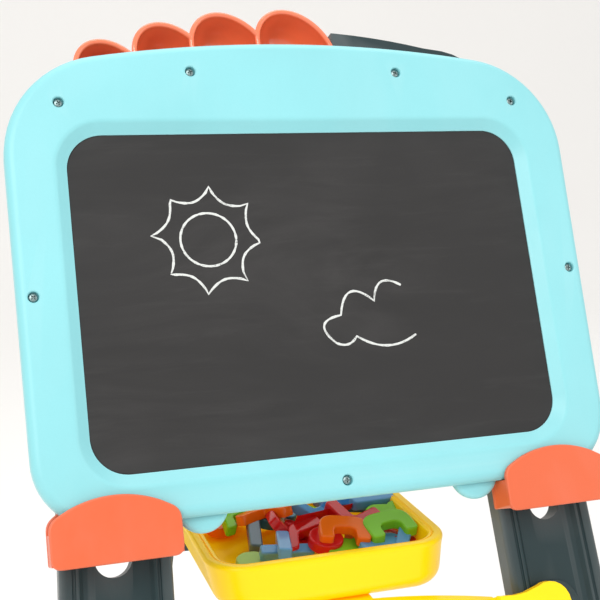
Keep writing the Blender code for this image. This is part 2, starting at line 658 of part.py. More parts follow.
def make_rear_leg(side, name):
    half = REAR_LEG_WIDTH / 2
    edge = 0.0025
    low = -0.86
    sections = []
    thick = REAR_THICKNESS / 2
    for inset, level in ((edge, -thick), (0.0, -thick + edge), (0.0, thick - edge), (edge, thick)):
        ring = [(rear_leg_centre(low) - half + inset, low), (rear_leg_centre(low) + half - inset, low),
                (rear_leg_centre(0.0) + half - inset, 0.0), (rear_leg_centre(0.0) - half + inset, 0.0)]
        sections.append((flipped(ring, side), level))
    leg = stack(name, sections, REAR_FRAME, "slate")
    centre_top = side * REAR_LEG_TOP_U
    combine(leg, cylinder(name + "_eye", (centre_top, 0.0, 0.0), (1, 0, 0), thick, REAR_LEG_WIDTH - 0.001, REAR_FRAME,
                          None, 32), "UNION")
    combine(leg, cylinder(name + "_bore", (centre_top, 0.0, 0.0), (1, 0, 0), HINGE_PIN_RADIUS + 0.0004, 0.06, REAR_FRAME))
    for label, high_v, low_v in CROSSBARS:
        middle_v = (high_v + low_v) / 2
        third = (high_v - low_v) / 4 + GAP
        depth = rear_leg_centre(middle_v) - half + 0.0085
        socket = [(0.0, middle_v - third), (depth, middle_v - third), (depth, middle_v + third), (0.0, middle_v + third)]
        reach = CROSSBAR_HALF_THICKNESS + GAP
        combine(leg, plate(name + "_socket_" + label, flipped(socket, side), -reach, reach, REAR_FRAME))
    combine(leg, block(name + "_floor_cut", (-0.5, -0.2, -0.3), (0.5, 0.9, FOOT_HEIGHT + GAP), Matrix()))
    foot_v = -(HINGE.z - FOOT_HEIGHT) / math.cos(REAR_LEAN)
    centre_u = rear_leg_centre(foot_v)
    foot = "rear_foot_left" if side < 0 else "rear_foot_right"
    make_foot(foot, REAR_FRAME, 0.0, centre_u - half, centre_u + half, foot_v, side)


# ---------------------------------------------------------------- bin and its support

def bin_outline(inset):
    middle_y = (BIN_FRONT_Y + BIN_BACK_Y) / 2
    half_depth = (BIN_BACK_Y - BIN_FRONT_Y) / 2
    return rounded_rectangle(BIN_HALF_WIDTH - inset, half_depth - inset, BIN_CORNER - inset, (0.0, middle_y), 6)


def make_bin():
    floor = BIN_BOTTOM_Z
    draft = 0.0015
    inner = draft + BIN_WALL
    sections = [(bin_outline(draft + 0.011), floor), (bin_outline(draft + 0.0045), floor + 0.0025),
                (bin_outline(draft + 0.0010), floor + 0.007), (bin_outline(draft), floor + 0.012),
                (bin_outline(0.0008), RIM_Z - 0.006), (bin_outline(0.0), RIM_Z - 0.002),
                (bin_outline(0.0008), RIM_Z), (bin_outline(0.0030), RIM_Z), (bin_outline(0.0036), RIM_Z - 0.0025),
                (bin_outline(0.0050), RIM_Z - 0.0030), (bin_outline(inner + 0.0002), floor + 0.0125),
                (bin_outline(inner + 0.0030), floor + BIN_WALL + 0.0035), (bin_outline(inner + 0.009), floor + BIN_WALL)]
    stack("letter_bin", sections, Matrix(), "yellow", smooth=40)


def support_path(x):
    """How far the support's back face lies behind the board's middle, across the width."""
    return PANEL_CENTRE.y - 0.0265 - 2.26 * x ** 2


def make_support():
    top = BIN_BOTTOM_Z - GAP
    count = 24
    reach = 0.104
    back, front = [], []
    for step in range(count + 1):
        x = -reach + 2 * reach * step / count
        back.append((x, support_path(x)))
        front.append((x, support_path(x) - SUPPORT_THICKNESS))
    bow = front + list(reversed(back))
    support = plate("bin_support", bow, top - SUPPORT_HEIGHT, top, Matrix(), "yellow")
    lobe_w = (LEG_FRONT + GAP, LEG_FRONT + GAP + 0.0055)
    for side in (-1, 1):
        label = "_left" if side < 0 else "_right"
        neck = arc((LOBE_U, LOBE_V), LOBE_RADIUS, 120, -115, 14)
        neck += [(0.119, -0.2375), (0.110, -0.240), (0.0985, -0.2395), (0.0985, -0.2082), (0.1100, -0.2090)]
        neck += [(0.1175, -0.2083), (0.1225, -0.2068)]
        outline = flipped(list(reversed(neck)), side)
        combine(support, plate("support_lobe" + label, outline, lobe_w[0], lobe_w[1], FRONT_FRAME), "UNION")
        link = [(0.0975, -0.0750), (0.1070, -0.0750), (0.1055, -0.0550), (0.0975, -0.0505)]
        link = [(x, y + PANEL_CENTRE.y) for x, y in link]
        combine(support, plate("support_link" + label, flipped(link, side), top - 0.0215, top - 0.0005, Matrix()), "UNION")
        peg = cylinder("support_peg" + label, (side * SUPPORT_HOLE_U, SUPPORT_HOLE_V, lobe_w[0] - 0.0025), (0, 0, 1),
                       SUPPORT_HOLE_RADIUS - 0.0022, 0.007, FRONT_FRAME)
        combine(support, peg, "UNION")
    spine_back = HINGE.y + (HINGE.z - top) * math.tan(REAR_LEAN) + 0.012
    spine = block("support_spine", (-SPINE_HALF_WIDTH, support_path(0.0) - 0.003, top - SPINE_THICKNESS),
                  (SPINE_HALF_WIDTH, spine_back, top - 0.0002), Matrix())
    combine(support, spine, "UNION")


make_board()
for leg_side in (-1, 1):
    make_front_leg(leg_side)
    make_clip(leg_side)
make_arch()
make_front_feet()
make_rack()
make_rear_frame()
make_bin()
make_support()
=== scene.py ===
"""A children's easel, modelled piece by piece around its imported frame.

Metres, +Z up. The leaning front frame has its own axes: u across, v up the slope, w towards the child.
"""

import json
import math

import bmesh
import bpy
from bpy.props import FloatProperty, FloatVectorProperty, PointerProperty
from mathutils import Matrix, Vector


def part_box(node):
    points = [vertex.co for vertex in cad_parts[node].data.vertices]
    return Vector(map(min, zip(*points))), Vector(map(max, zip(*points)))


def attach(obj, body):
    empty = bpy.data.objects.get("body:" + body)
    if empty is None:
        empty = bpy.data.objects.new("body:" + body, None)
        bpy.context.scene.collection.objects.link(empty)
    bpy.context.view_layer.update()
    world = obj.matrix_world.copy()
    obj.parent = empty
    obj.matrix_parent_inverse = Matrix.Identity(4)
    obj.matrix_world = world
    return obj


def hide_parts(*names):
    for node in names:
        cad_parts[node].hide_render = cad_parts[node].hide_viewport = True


bl_info = {
    "name": "Kids easel",
    "version": (1, 0, 0),
    "blender": (4, 5, 0),
    "location": "View3D > Sidebar > Easel",
    "description": "Models a folding children's easel with its board, bin and cup rack",
    "category": "Add Mesh",
}

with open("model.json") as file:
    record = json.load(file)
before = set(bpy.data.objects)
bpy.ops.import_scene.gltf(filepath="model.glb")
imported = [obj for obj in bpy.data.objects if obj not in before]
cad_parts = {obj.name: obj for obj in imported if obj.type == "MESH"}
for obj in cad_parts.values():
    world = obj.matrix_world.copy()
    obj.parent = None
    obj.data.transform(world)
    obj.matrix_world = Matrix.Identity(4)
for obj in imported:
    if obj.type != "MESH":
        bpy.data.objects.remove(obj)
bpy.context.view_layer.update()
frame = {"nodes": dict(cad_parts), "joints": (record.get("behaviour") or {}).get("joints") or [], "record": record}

MOUNTS = {mount["name"]: mount for mount in frame["record"]["mounts"]}
JOINTS = {joint["name"]: joint for joint in frame["joints"]}
GAP = 0.0003
SIDES = {"left": -1, "right": 1}


# ---------------------------------------------------------------- places taken from the frame

def front_axes():
    """The leaning frame: its origin in the middle of the writing face, v up the slope, w out of the face."""
    face = MOUNTS["chalk_face"]
    up, out = Vector(JOINTS["board_lift"]["axis"]).normalized(), Vector(face["axis"]).normalized()
    axes = Matrix((up.cross(out), up, out)).transposed().to_4x4()
    return Matrix.Translation(face["pos_m"]) @ axes


FRONT = front_axes()
LEVEL = Matrix.Identity(4)


# ---------------------------------------------------------------- sizes and colours

def length(name, description, metres):
    return FloatProperty(name=name, description=description, default=metres, unit="LENGTH", precision=4)


def tint(name, description, rgb):
    return FloatVectorProperty(name=name, description=description, default=rgb, subtype="COLOR",
                               size=3, min=0.0, max=1.0)


class EaselBoardSizes(bpy.types.PropertyGroup):
    """The framed board."""

    half_top: length("Half width, top", "From the middle to the upper corners", 0.192)
    half_bottom: length("Half width, bottom", "From the middle to the lower corners", 0.190)
    top: length("Crown", "From the board's middle up to its crown", 0.1682)
    bottom: length("Foot", "From the board's middle down to its lower edge", 0.135)
    crown: length("Crown radius", "Curve of the upper edge", 0.900)
    top_corner: length("Top corner", "Radius of the upper corners", 0.068)
    bottom_corner: length("Bottom corner", "Radius of the lower corners", 0.042)
    face: length("Face level", "Front face above the writing face", 0.006)
    split: length("Split level", "Seam between the two shells, below the writing face", 0.002)
    back: length("Back level", "Back face below the writing face", 0.010)
    edge: length("Edge round", "Rounding of the front edge", 0.006)
    window_half_width: length("Window half width", "Half width of the opening", 0.155)
    window_half_height: length("Window half height", "Half height of the opening", 0.10575)
    window_corner: length("Window corner", "Radius of the opening's corners", 0.023)
    chamfer: length("Chamfer", "Width of the band round the opening", 0.0070)
    lip: length("Lip", "Height of the opening's inner lip", 0.0010)
    lap: length("Lap", "How far the panels reach under the shells", 0.0063)
    tab_place: length("Tab place", "From the middle to each tab", 0.091)
    tab_radius: length("Tab radius", "Radius of the tabs below the board", 0.0165)
    tab_drop: length("Tab drop", "How far a tab reaches below the board", 0.010)


class EaselLegSizes(bpy.types.PropertyGroup):
    """The front legs."""

    front: length("Front face", "Depth of the front face behind the writing face", 0.014)
    back: length("Back face", "Depth of the back face behind the writing face", 0.030)
    inner: length("Inner edge", "Inner edge at the open hole", 0.110)
    outer: length("Outer edge", "Outer edge at the open hole", 0.1775)
    level: length("Open hole", "From the board's middle down to the open hole", 0.155)
    top: length("Top", "From the board's middle up to the leg's top", 0.078)
    rail: length("Rail", "Width of the rails beside the sunk panels", 0.012)
    sink: length("Sink", "Depth of the sunk panels", 0.0025)
    round: length("Edge round", "Rounding of the leg's edges", 0.003)


class EaselBinSizes(bpy.types.PropertyGroup):
    """The letter bin."""

    corner: length("Corner", "Radius of the bin's corners", 0.027)
    draft: length("Draft", "How far the walls lean in towards the floor", 0.0015)
    lean: length("Lean", "How far the left wall leans in, halved", 0.0035)
    wall: length("Wall", "Thickness of the wall", 0.0025)
    rim: length("Rim", "Width of the rim", 0.0105)
    groove: length("Groove", "Width of the groove in the rim", 0.0016)


class EaselColours(bpy.types.PropertyGroup):
    """Colours of the plastics, panels and loose shapes."""

    turquoise: tint("Board shells", "Satin turquoise plastic", (0.262, 0.650, 0.695))
    chalkboard: tint("Chalkboard", "Matt black coating", (0.027, 0.026, 0.026))
    slate: tint("Legs", "Satin slate plastic", (0.014, 0.034, 0.038))
    orange: tint("Clips", "Satin orange plastic", (0.76, 0.125, 0.036))
    cup: tint("Cups", "Glossy orange plastic", (0.98, 0.190, 0.075))
    yellow: tint("Bin", "Semi-gloss yellow plastic", (0.98, 0.74, 0.002))
    chalk: tint("Chalk", "White chalk", (0.80, 0.82, 0.80))
    floor: tint("Floor", "Pale studio floor", (0.90, 0.89, 0.875))


class EaselSettings(bpy.types.PropertyGroup):
    """All sizes and colours of the easel."""

    board: PointerProperty(type=EaselBoardSizes, name="Board", description="Sizes of the board")
    leg: PointerProperty(type=EaselLegSizes, name="Legs", description="Sizes of the front legs")
    bin: PointerProperty(type=EaselBinSizes, name="Bin", description="Sizes of the bin")
    colours: PointerProperty(type=EaselColours, name="Colours", description="Colours of the finishes")


def sizes():
    return bpy.context.scene.easel


# ---------------------------------------------------------------- materials

class Flow:
    """One value in a material, so that shader maths reads as arithmetic."""

    def __init__(self, recipe, socket):
        self.recipe = recipe
        self.socket = socket

    def sum_with(self, operation, first, second):
        return self.recipe.add("ShaderNodeMath", {"operation": operation}, {0: first, 1: second})

    def __add__(self, other):
        return self.sum_with("ADD", self, other)

    __radd__ = __add__

    def __sub__(self, other):
        return self.sum_with("SUBTRACT", self, other)

    def __mul__(self, other):
        return self.sum_with("MULTIPLY", self, other)

    __rmul__ = __mul__


class Recipe:
    """A material while it is put together."""

    def __init__(self, name, **constants):
        self.material = bpy.data.materials.new(name)
        self.material.use_nodes = True
        self.tree = self.material.node_tree
        self.shader = self.tree.nodes["Principled BSDF"]
        for socket, value in constants.items():
            self.shader.inputs[socket.replace("_", " ")].default_value = value
        self.place = self.add("ShaderNodeTexCoord", output="Object")

    def add(self, kind, settings=None, sockets=None, output=0):
        """Adds a node: its settings first, then the values or links of its sockets."""
        node = self.tree.nodes.new(kind)
        for name, value in (settings or {}).items():
            setattr(node, name, value)
        for name, value in (sockets or {}).items():
            if isinstance(value, Flow):
                self.tree.links.new(value.socket, node.inputs[name])
            else:
                node.inputs[name].default_value = value
        return Flow(self, node.outputs[output])

    def noise(self, scale, detail=3.0, roughness=0.5, place=None, distortion=0.0):
        sockets = {"Vector": place or self.place, "Scale": scale, "Detail": detail,
                   "Roughness": roughness, "Distortion": distortion}
        return self.add("ShaderNodeTexNoise", {}, sockets, "Fac")

    def stretched(self, scale, turn=(0.0, 0.0, 0.0)):
        return self.add("ShaderNodeMapping", {}, {"Vector": self.place, "Scale": scale, "Rotation": turn})

    def ramp(self, value, *stops):
        """A grey that follows two (position, shade) stops."""
        grey = self.add("ShaderNodeValToRGB", {}, {"Fac": value})
        for element, (position, shade) in zip(grey.socket.node.color_ramp.elements, stops):
            element.position = position
            element.color = (shade, shade, shade, 1.0)
        return grey

    def blend(self, amount, first, second):
        """A colour that goes from the first to the second."""
        sockets = {0: amount, 6: colour_of(first), 7: colour_of(second)}
        return self.add("ShaderNodeMix", {"data_type": "RGBA"}, sockets, 2)

    def bump(self, height, distance, strength=1.0):
        sockets = {"Height": height, "Distance": distance, "Strength": strength}
        self.link("Normal", self.add("ShaderNodeBump", {}, sockets))

    def link(self, socket, value):
        self.tree.links.new(value.socket, self.shader.inputs[socket])


WHITE = (1.0, 1.0, 1.0)


def colour_of(value):
    return value if isinstance(value, Flow) else (*value, 1.0)


def shade(rgb, factor):
    return tuple(min(1.0, channel * factor) for channel in rgb)


def toned(rgb, other, amount):
    return tuple(a + (b - a) * amount for a, b in zip(rgb, other))


def plastic(name, rgb, gloss, grain=900.0, depth=0.00006, wear=0.10, bloom=0.06, **constants):
    """Moulded plastic: slow colour drift, flow marks, a fine skin, rubbed edges and soft handling marks."""
    recipe = Recipe(name, **constants)
    drift = recipe.noise(9.0, 4.0)
    flow = recipe.noise(1.0, 3.0, 0.5, recipe.stretched((30.0, 30.0, 7.0), (0.0, 0.5, 0.3)), 0.6)
    skin = recipe.noise(grain, 2.0, 0.6)
    base = recipe.blend(recipe.ramp(drift, (0.30, 0.0), (0.70, 1.0)), shade(rgb, 0.95), shade(rgb, 1.04))
    base = recipe.blend(recipe.ramp(flow, (0.45, 0.0), (0.75, 0.35)), base, toned(rgb, WHITE, bloom))
    speck = recipe.ramp(skin, (0.35, 0.0), (0.65, 0.12))
    base = recipe.blend(speck, base, shade(rgb, 0.90))
    edge = recipe.add("ShaderNodeNewGeometry", output="Pointiness")
    rubbed = recipe.ramp(edge, (0.52, 0.0), (0.62, 1.0)) * wear
    base = recipe.blend(rubbed, base, toned(rgb, WHITE, 0.45))
    recipe.link("Base Color", base)
    marks = recipe.noise(38.0, 6.0, 0.65)
    fine = recipe.noise(1.0, 2.0, place=recipe.stretched((260.0, 18.0, 60.0), (0.4, 0.1, 0.7)))
    smear = recipe.ramp(marks, (0.40, 0.0), (0.75, 1.0))
    scuff = recipe.ramp(fine, (0.62, 0.0), (0.70, 1.0))
    recipe.link("Roughness", gloss + 0.07 * smear + 0.05 * scuff + 0.04 * drift)
    recipe.bump(skin * 0.7 + flow * 0.5 - scuff * 0.15, depth)
    return recipe.material


def chalkboard_finish(rgb):
    """Matt coating with wiped chalk dust in broad arcs, clear patches and a sandy tooth."""
    recipe = Recipe("chalkboard_coating", IOR=1.4)
    wipe = recipe.noise(1.0, 5.0, 0.6, recipe.stretched((6.0, 22.0, 22.0), (0.0, 0.45, 0.0)), 1.2)
    cloud = recipe.noise(7.0, 3.0)
    tooth = recipe.noise(2600.0, 2.0, 0.7)
    streak = recipe.noise(1.0, 4.0, 0.7, recipe.stretched((12.0, 120.0, 120.0), (0.0, 0.35, 0.0)), 0.4)
    dust = recipe.ramp(wipe, (0.42, 0.0), (0.72, 1.0)) * recipe.ramp(cloud, (0.40, 0.1), (0.65, 1.0))
    dust = dust * 0.16 + recipe.ramp(streak, (0.55, 0.0), (0.75, 1.0)) * 0.05
    base = recipe.blend(dust, rgb, (0.22, 0.21, 0.21))
    base = recipe.blend(recipe.ramp(tooth, (0.35, 0.0), (0.70, 0.25)), base, shade(rgb, 0.6))
    recipe.link("Base Color", base)
    recipe.link("Roughness", 0.66 + dust * 0.9 + tooth * 0.12)
    recipe.bump(tooth, 0.00004, 0.8)
    return recipe.material


def chalk_finish(rgb):
    """Dry chalk that catches on the board's tooth, with gaps where the stroke was light."""
    recipe = Recipe("chalk_stroke", Roughness=0.95)
    tooth = recipe.noise(1500.0, 2.0, 0.6)
    press = recipe.noise(90.0, 3.0)
    recipe.link("Base Color", recipe.blend(tooth, shade(rgb, 0.72), rgb))
    recipe.link("Alpha", recipe.ramp(tooth * 0.55 + press * 0.45, (0.36, 0.15), (0.47, 1.0)))
    recipe.bump(tooth, 0.0001)
    return recipe.material


def whiteboard_finish():
    """Glossy film with the ghosts of wiped marker and dull swirls from the cloth."""
    recipe = Recipe("whiteboard_film", Coat_Weight=0.5, Coat_Roughness=0.06)
    ghost = recipe.noise(1.0, 5.0, 0.55, recipe.stretched((9.0, 40.0, 40.0), (0.0, 0.6, 0.0)), 1.5)
    haze = recipe.noise(14.0, 4.0)
    base = recipe.blend(recipe.ramp(ghost, (0.55, 0.0), (0.80, 0.30)), (0.86, 0.87, 0.88), (0.62, 0.68, 0.78))
    recipe.link("Base Color", base)
    recipe.link("Roughness", 0.12 + 0.16 * recipe.ramp(haze, (0.40, 0.0), (0.70, 1.0)))
    recipe.bump(recipe.noise(320.0, 2.0), 0.00002)
    return recipe.material


def metal_finish(name, rgb, turned):
    """Plated steel: fine turning or rolling lines, dull spots and a few dark pits."""
    recipe = Recipe(name, Metallic=1.0)
    lines = recipe.noise(1.0, 3.0, 0.6, recipe.stretched(turned))
    spots = recipe.noise(420.0, 4.0, 0.6)
    pits = recipe.ramp(recipe.noise(1700.0, 1.0), (0.66, 0.0), (0.72, 1.0))
    base = recipe.blend(recipe.ramp(spots, (0.35, 0.0), (0.70, 1.0)), shade(rgb, 0.78), shade(rgb, 1.1))
    recipe.link("Base Color", recipe.blend(pits, base, shade(rgb, 0.35)))
    recipe.link("Roughness", 0.20 + 0.16 * lines + 0.14 * spots)
    recipe.bump(lines - pits * 0.6, 0.00003)
    return recipe.material


def rubber_finish():
    """Matt rubber with floor dust, pale scuffs and an open, pebbled skin."""
    recipe = Recipe("foot_rubber", Specular_IOR_Level=0.35)
    pebble = recipe.add("ShaderNodeTexVoronoi", {}, {"Vector": recipe.place, "Scale": 850.0}, "Distance")
    dust = recipe.noise(60.0, 5.0, 0.65)
    scuff = recipe.noise(1.0, 3.0, place=recipe.stretched((400.0, 60.0, 40.0)))
    dusty = recipe.ramp(dust, (0.42, 0.0), (0.75, 0.6))
    base = recipe.blend(dusty, (0.035, 0.036, 0.038), (0.13, 0.125, 0.12))
    base = recipe.blend(recipe.ramp(scuff, (0.66, 0.0), (0.78, 0.5)), base, (0.22, 0.21, 0.20))
    recipe.link("Base Color", base)
    recipe.link("Roughness", 0.72 + 0.18 * dust)
    recipe.bump(pebble, 0.0001)
    return recipe.material


def floor_finish(rgb):
    """Pale painted studio floor with the faintest roller texture."""
    recipe = Recipe("studio_floor", Roughness=0.75, Specular_IOR_Level=0.2, Emission_Strength=0.10,
                    Emission_Color=(1.0, 0.985, 0.965, 1.0))
    drift = recipe.noise(1.3, 3.0)
    roller = recipe.noise(160.0, 2.0)
    recipe.link("Base Color", recipe.blend(drift, shade(rgb, 0.985), shade(rgb, 1.015)))
    recipe.bump(roller, 0.0002, 0.3)
    return recipe.material


LOOSE_COLOURS = {
    "green": (0.23, 0.62, 0.020), "pale_green": (0.45, 0.70, 0.14), "sky": (0.14, 0.38, 0.68),
    "blue": (0.040, 0.20, 0.50), "red": (0.66, 0.008, 0.008), "tangerine": (1.0, 0.17, 0.006),
    "teal": (0.045, 0.19, 0.25), "grey_blue": (0.16, 0.23, 0.28),
}


def make_finishes():
    """Every finish on the easel, by the name of the record's material slot where it has one."""
    colours = sizes().colours
    made = {
        "turquoise_plastic": plastic("turquoise_shell", tuple(colours.turquoise), 0.36, wear=0.35),
        "slate_plastic": plastic("slate_leg", tuple(colours.slate), 0.34, 620.0, 0.00006, 0.16, IOR=1.40),
        "orange_plastic": plastic("orange_clip", tuple(colours.orange), 0.36, wear=0.35),
        "cup_plastic": plastic("cup_gloss", tuple(colours.cup), 0.10, 1400.0, 0.00002, 0.12,
                               Coat_Weight=1.0, Coat_Roughness=0.04),
        # The bin's plastic glows faintly red-orange though it is no lamp: painted amber shade, so its less lit
        # sides and floor read amber while the lit faces stay yellow.
        "yellow_plastic": plastic("yellow_bin_painted_amber_glow", tuple(colours.yellow), 0.26, 700.0, 0.00001, 0.04, 0.0,
                                  IOR=1.34, Emission_Color=(1.0, 0.22, 0.0, 1.0), Emission_Strength=0.16),
        "chalkboard": chalkboard_finish(tuple(colours.chalkboard)),
        "whiteboard": whiteboard_finish(),
        "sheet_steel": metal_finish("rolled_sheet", (0.55, 0.56, 0.58), (8.0, 900.0, 900.0)),
        "screw_steel": metal_finish("plated_screw", (0.32, 0.42, 0.42), (900.0, 40.0, 900.0)),
        "foot_rubber": rubber_finish(),
        "chalk": chalk_finish(tuple(colours.chalk)),
        "floor": floor_finish(tuple(colours.floor)),
    }
    for name, rgb in LOOSE_COLOURS.items():
        made[name] = plastic("loose_" + name, rgb, 0.08, 1500.0, 0.00001, 0.05, 0.0, IOR=1.38)
    return made


FINISHES = {}


# ---------------------------------------------------------------- outlines

def arc(centre, radius, start, end, steps):
    """Points on a circle from start to end degrees, both ends included."""
    turns = [math.radians(start + (end - start) * step / steps) for step in range(steps + 1)]
    return [(centre[0] + radius * math.cos(turn), centre[1] + radius * math.sin(turn)) for turn in turns]


def rounded(corners, steps):
    """A closed outline from (point, radius) corners, each turned by a smooth bend."""
    points = []
    count = len(corners)
    for index, (corner, radius) in enumerate(corners):
        corner = Vector(corner)
        if radius == 0.0:
            points.append(tuple(corner))
            continue
        before = Vector(corners[index - 1][0]) - corner
        after = Vector(corners[(index + 1) % count][0]) - corner
        half_turn = before.angle(after) / 2
        reach = min(radius / math.tan(half_turn), before.length * 0.48, after.length * 0.48)
        first, last = corner + before.normalized() * reach, corner + after.normalized() * reach
        for step in range(steps + 1):
            s = step / steps
            points.append(tuple(first * (1 - s) ** 2 + corner * 2 * s * (1 - s) + last * s ** 2))
    return points


def rectangle(half_width, half_height, radius, centre=(0.0, 0.0), steps=8):
    corners = []
    for side_u, side_v in ((1, -1), (1, 1), (-1, 1), (-1, -1)):
        corners.append(((centre[0] + side_u * half_width, centre[1] + side_v * half_height), radius))
    points = []
    for (corner, _), start in zip(corners, (-90, 0, 90, 180)):
        middle = (corner[0] + math.copysign(radius, centre[0] - corner[0]),
                  corner[1] + math.copysign(radius, centre[1] - corner[1]))
        points += arc(middle, radius, start, start + 90, steps)
    return points


def flipped(outline, side):
    """The right-hand outline, or its mirror image for the left."""
    return list(outline) if side > 0 else [(-u, v) for u, v in reversed(outline)]


def at(outline, level):
    return [(u, v, level) for u, v in outline]


def stack(outline, profile):
    """Rings of an outline at (growth, level) pairs."""
    return [at(outline(growth), level) for growth, level in profile]


def rounding(radius, steps):
    """(inset, drop) pairs that turn a wall into a face."""
    turns = [math.pi / 2 * step / steps for step in range(steps, -1, -1)]
    return [(radius * (1 - math.sin(turn)), radius * (1 - math.cos(turn))) for turn in turns]


# ---------------------------------------------------------------- modelling

SHARP = 35.0  # degrees between faces from which an edge counts as sharp


def let_go():
    """Leaves edit mode and selects nothing."""
    if bpy.context.mode != "OBJECT":
        bpy.ops.object.mode_set(mode="OBJECT")
    bpy.ops.object.select_all(action="DESELECT")


def hold(item):
    """Makes an object the active one and the only one selected."""
    let_go()
    item.select_set(True)
    bpy.context.view_layer.objects.active = item


def open_mesh(item):
    hold(item)
    bpy.ops.object.mode_set(mode="EDIT")
    bpy.ops.mesh.select_mode(type="VERT")
    bpy.ops.mesh.select_all(action="SELECT")


def close_mesh():
    bpy.ops.object.mode_set(mode="OBJECT")


def face_outwards(item):
    open_mesh(item)
    bpy.ops.mesh.normals_make_consistent(inside=False)
    close_mesh()


def modify(item, kind, **settings):
    """Adds a modifier and applies it."""
    hold(item)
    bpy.ops.object.modifier_add(type=kind)
    modifier = item.modifiers[-1]
    for name, value in settings.items():
        setattr(modifier, name, value)
    bpy.ops.object.modifier_apply(modifier=modifier.name)


def trim(item, place, normal):
    """Cuts off what lies behind a plane and closes the cut."""
    open_mesh(item)
    bpy.ops.mesh.bisect(plane_co=place, plane_no=normal, use_fill=True, clear_inner=True)
    close_mesh()


def pick(item, kind, test):
    """Selects the parts of an open mesh that pass a test."""
    bpy.ops.mesh.select_mode(type=kind)
    bpy.ops.mesh.select_all(action="DESELECT")
    shape = bmesh.from_edit_mesh(item.data)
    for part in {"VERT": shape.verts, "EDGE": shape.edges, "FACE": shape.faces}[kind]:
        if test(part):
            part.select_set(True)
    shape.select_flush_mode()
    bmesh.update_edit_mesh(item.data)


def named(name):
    item = bpy.context.object
    item.name = name
    item.data.name = name
    return item


def skin(name, rings, closed=False):
    """A moulding's skin: a stack of circles bridged in turn, then given the rings' shapes."""
    let_go()
    count = len(rings[0])
    bpy.ops.mesh.primitive_circle_add(vertices=count, radius=1.0)
    item = named(name)
    bpy.ops.object.mode_set(mode="EDIT")
    for level in range(1, len(rings)):
        bpy.ops.mesh.primitive_circle_add(vertices=count, radius=1.0, location=(0.0, 0.0, level))
    for lower in range(len(rings) if closed else len(rings) - 1):
        pair = (lower, (lower + 1) % len(rings))
        pick(item, "VERT", lambda vertex: vertex.index // count in pair)
        bpy.ops.mesh.bridge_edge_loops()
    if not closed:
        for end in (0, len(rings) - 1):
            pick(item, "VERT", lambda vertex: vertex.index // count == end)
            bpy.ops.mesh.edge_face_add()
    close_mesh()
    item.data.vertices.foreach_set("co", [value for ring in rings for point in ring for value in point])
    face_outwards(item)
    return item


def slab(name, outline, low, high, round_low=0.0, round_high=0.0, segments=3):
    """A plate from an outline: filled, extruded to its thickness, with its rims bevelled."""
    let_go()
    bpy.ops.mesh.primitive_circle_add(vertices=len(outline), radius=1.0, fill_type="NGON")
    item = named(name)
    item.data.vertices.foreach_set("co", [value for point in at(outline, low) for value in point])
    open_mesh(item)
    bpy.ops.mesh.extrude_region_move(TRANSFORM_OT_translate={"value": (0.0, 0.0, high - low)})
    bpy.ops.mesh.select_all(action="SELECT")
    bpy.ops.mesh.normals_make_consistent(inside=False)
    for level, size in ((low, round_low), (high, round_high)):
        if size > 0.0:
            pick(item, "EDGE", lambda edge: all(abs(end.co.z - level) < 1e-6 for end in edge.verts))
            bpy.ops.mesh.bevel(offset=size, segments=segments, profile=0.5, clamp_overlap=True)
    close_mesh()
    return item


def rod(name, centre, radius, depth, axis=(0.0, 0.0, 1.0), vertices=48, bevel=0.0):
    """A turned bar with its two rims bevelled."""
    let_go()
    turn = Vector(axis).to_track_quat("Z", "Y").to_euler()
    bpy.ops.mesh.primitive_cylinder_add(vertices=vertices, radius=radius, depth=depth, location=centre,
                                        rotation=turn)
    item = named(name)
    bpy.ops.object.transform_apply(location=True, rotation=True, scale=True)
    if bevel:
        open_mesh(item)
        pick(item, "EDGE", lambda edge: any(len(face.verts) > 4 for face in edge.link_faces))
        bpy.ops.mesh.bevel(offset=bevel, segments=3, profile=0.5)
        close_mesh()
    return item


def block(name, low, high, bevel=0.0):
    """A bar between two corners, with its edges bevelled."""
    let_go()
    low, high = Vector(low), Vector(high)
    bpy.ops.mesh.primitive_cube_add(size=1.0, location=(low + high) / 2, scale=high - low)
    item = named(name)
    bpy.ops.object.transform_apply(location=True, rotation=True, scale=True)
    if bevel:
        open_mesh(item)
        bpy.ops.mesh.bevel(offset=bevel, segments=3, profile=0.5)
        close_mesh()
    return item


def combine(item, other, operation="DIFFERENCE"):
    """Cuts the other shape away, or adds it, for good."""
    modify(item, "BOOLEAN", operation=operation, solver="EXACT", object=other)
    bpy.data.objects.remove(other, do_unlink=True)
    if not item.data.polygons:
        raise RuntimeError("nothing left of " + item.name)


def join(item, others):
    hold(item)
    for other in others:
        other.select_set(True)
    bpy.ops.object.join()
    return item


def soften(item, width):
    """Bevels every sharp edge."""
    modify(item, "BEVEL", width=width, segments=3, limit_method="ANGLE", angle_limit=math.radians(SHARP),
           miter_outer="MITER_ARC")
    return item


def copy_of(name, node):
    """A clean copy of a frame node: doubles merged and flat faces joined up."""
    item = bpy.data.objects.new(name, frame["nodes"][node].data.copy())
    item.data.name = name
    bpy.context.scene.collection.objects.link(item)
    open_mesh(item)
    bpy.ops.mesh.remove_doubles(threshold=0.00001)
    bpy.ops.mesh.dissolve_limited(angle_limit=math.radians(0.5))
    bpy.ops.mesh.normals_make_consistent(inside=False)
    close_mesh()
    return item


def complete(item, place, body, finish, nodes=(), angle=SHARP):
    """Puts a piece in its place, shades it, gives it its finish and its body."""
    hold(item)
    item.matrix_world = place @ item.matrix_world
    bpy.ops.object.transform_apply(location=True, rotation=True, scale=True)
    face_outwards(item)
    bpy.ops.object.shade_smooth_by_angle(angle=math.radians(angle))
    modify(item, "WEIGHTED_NORMAL", keep_sharp=True)
    item.data.materials.clear()
    item.data.materials.append(FINISHES[finish])
    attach(item, body)
    if nodes:
        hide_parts(*nodes)


def dress(node, finish):
    """Gives a node that stays a better finish."""
    mesh = frame["nodes"][node].data
    mesh.materials.clear()
    mesh.materials.append(FINISHES[finish])


# ---------------------------------------------------------------- board

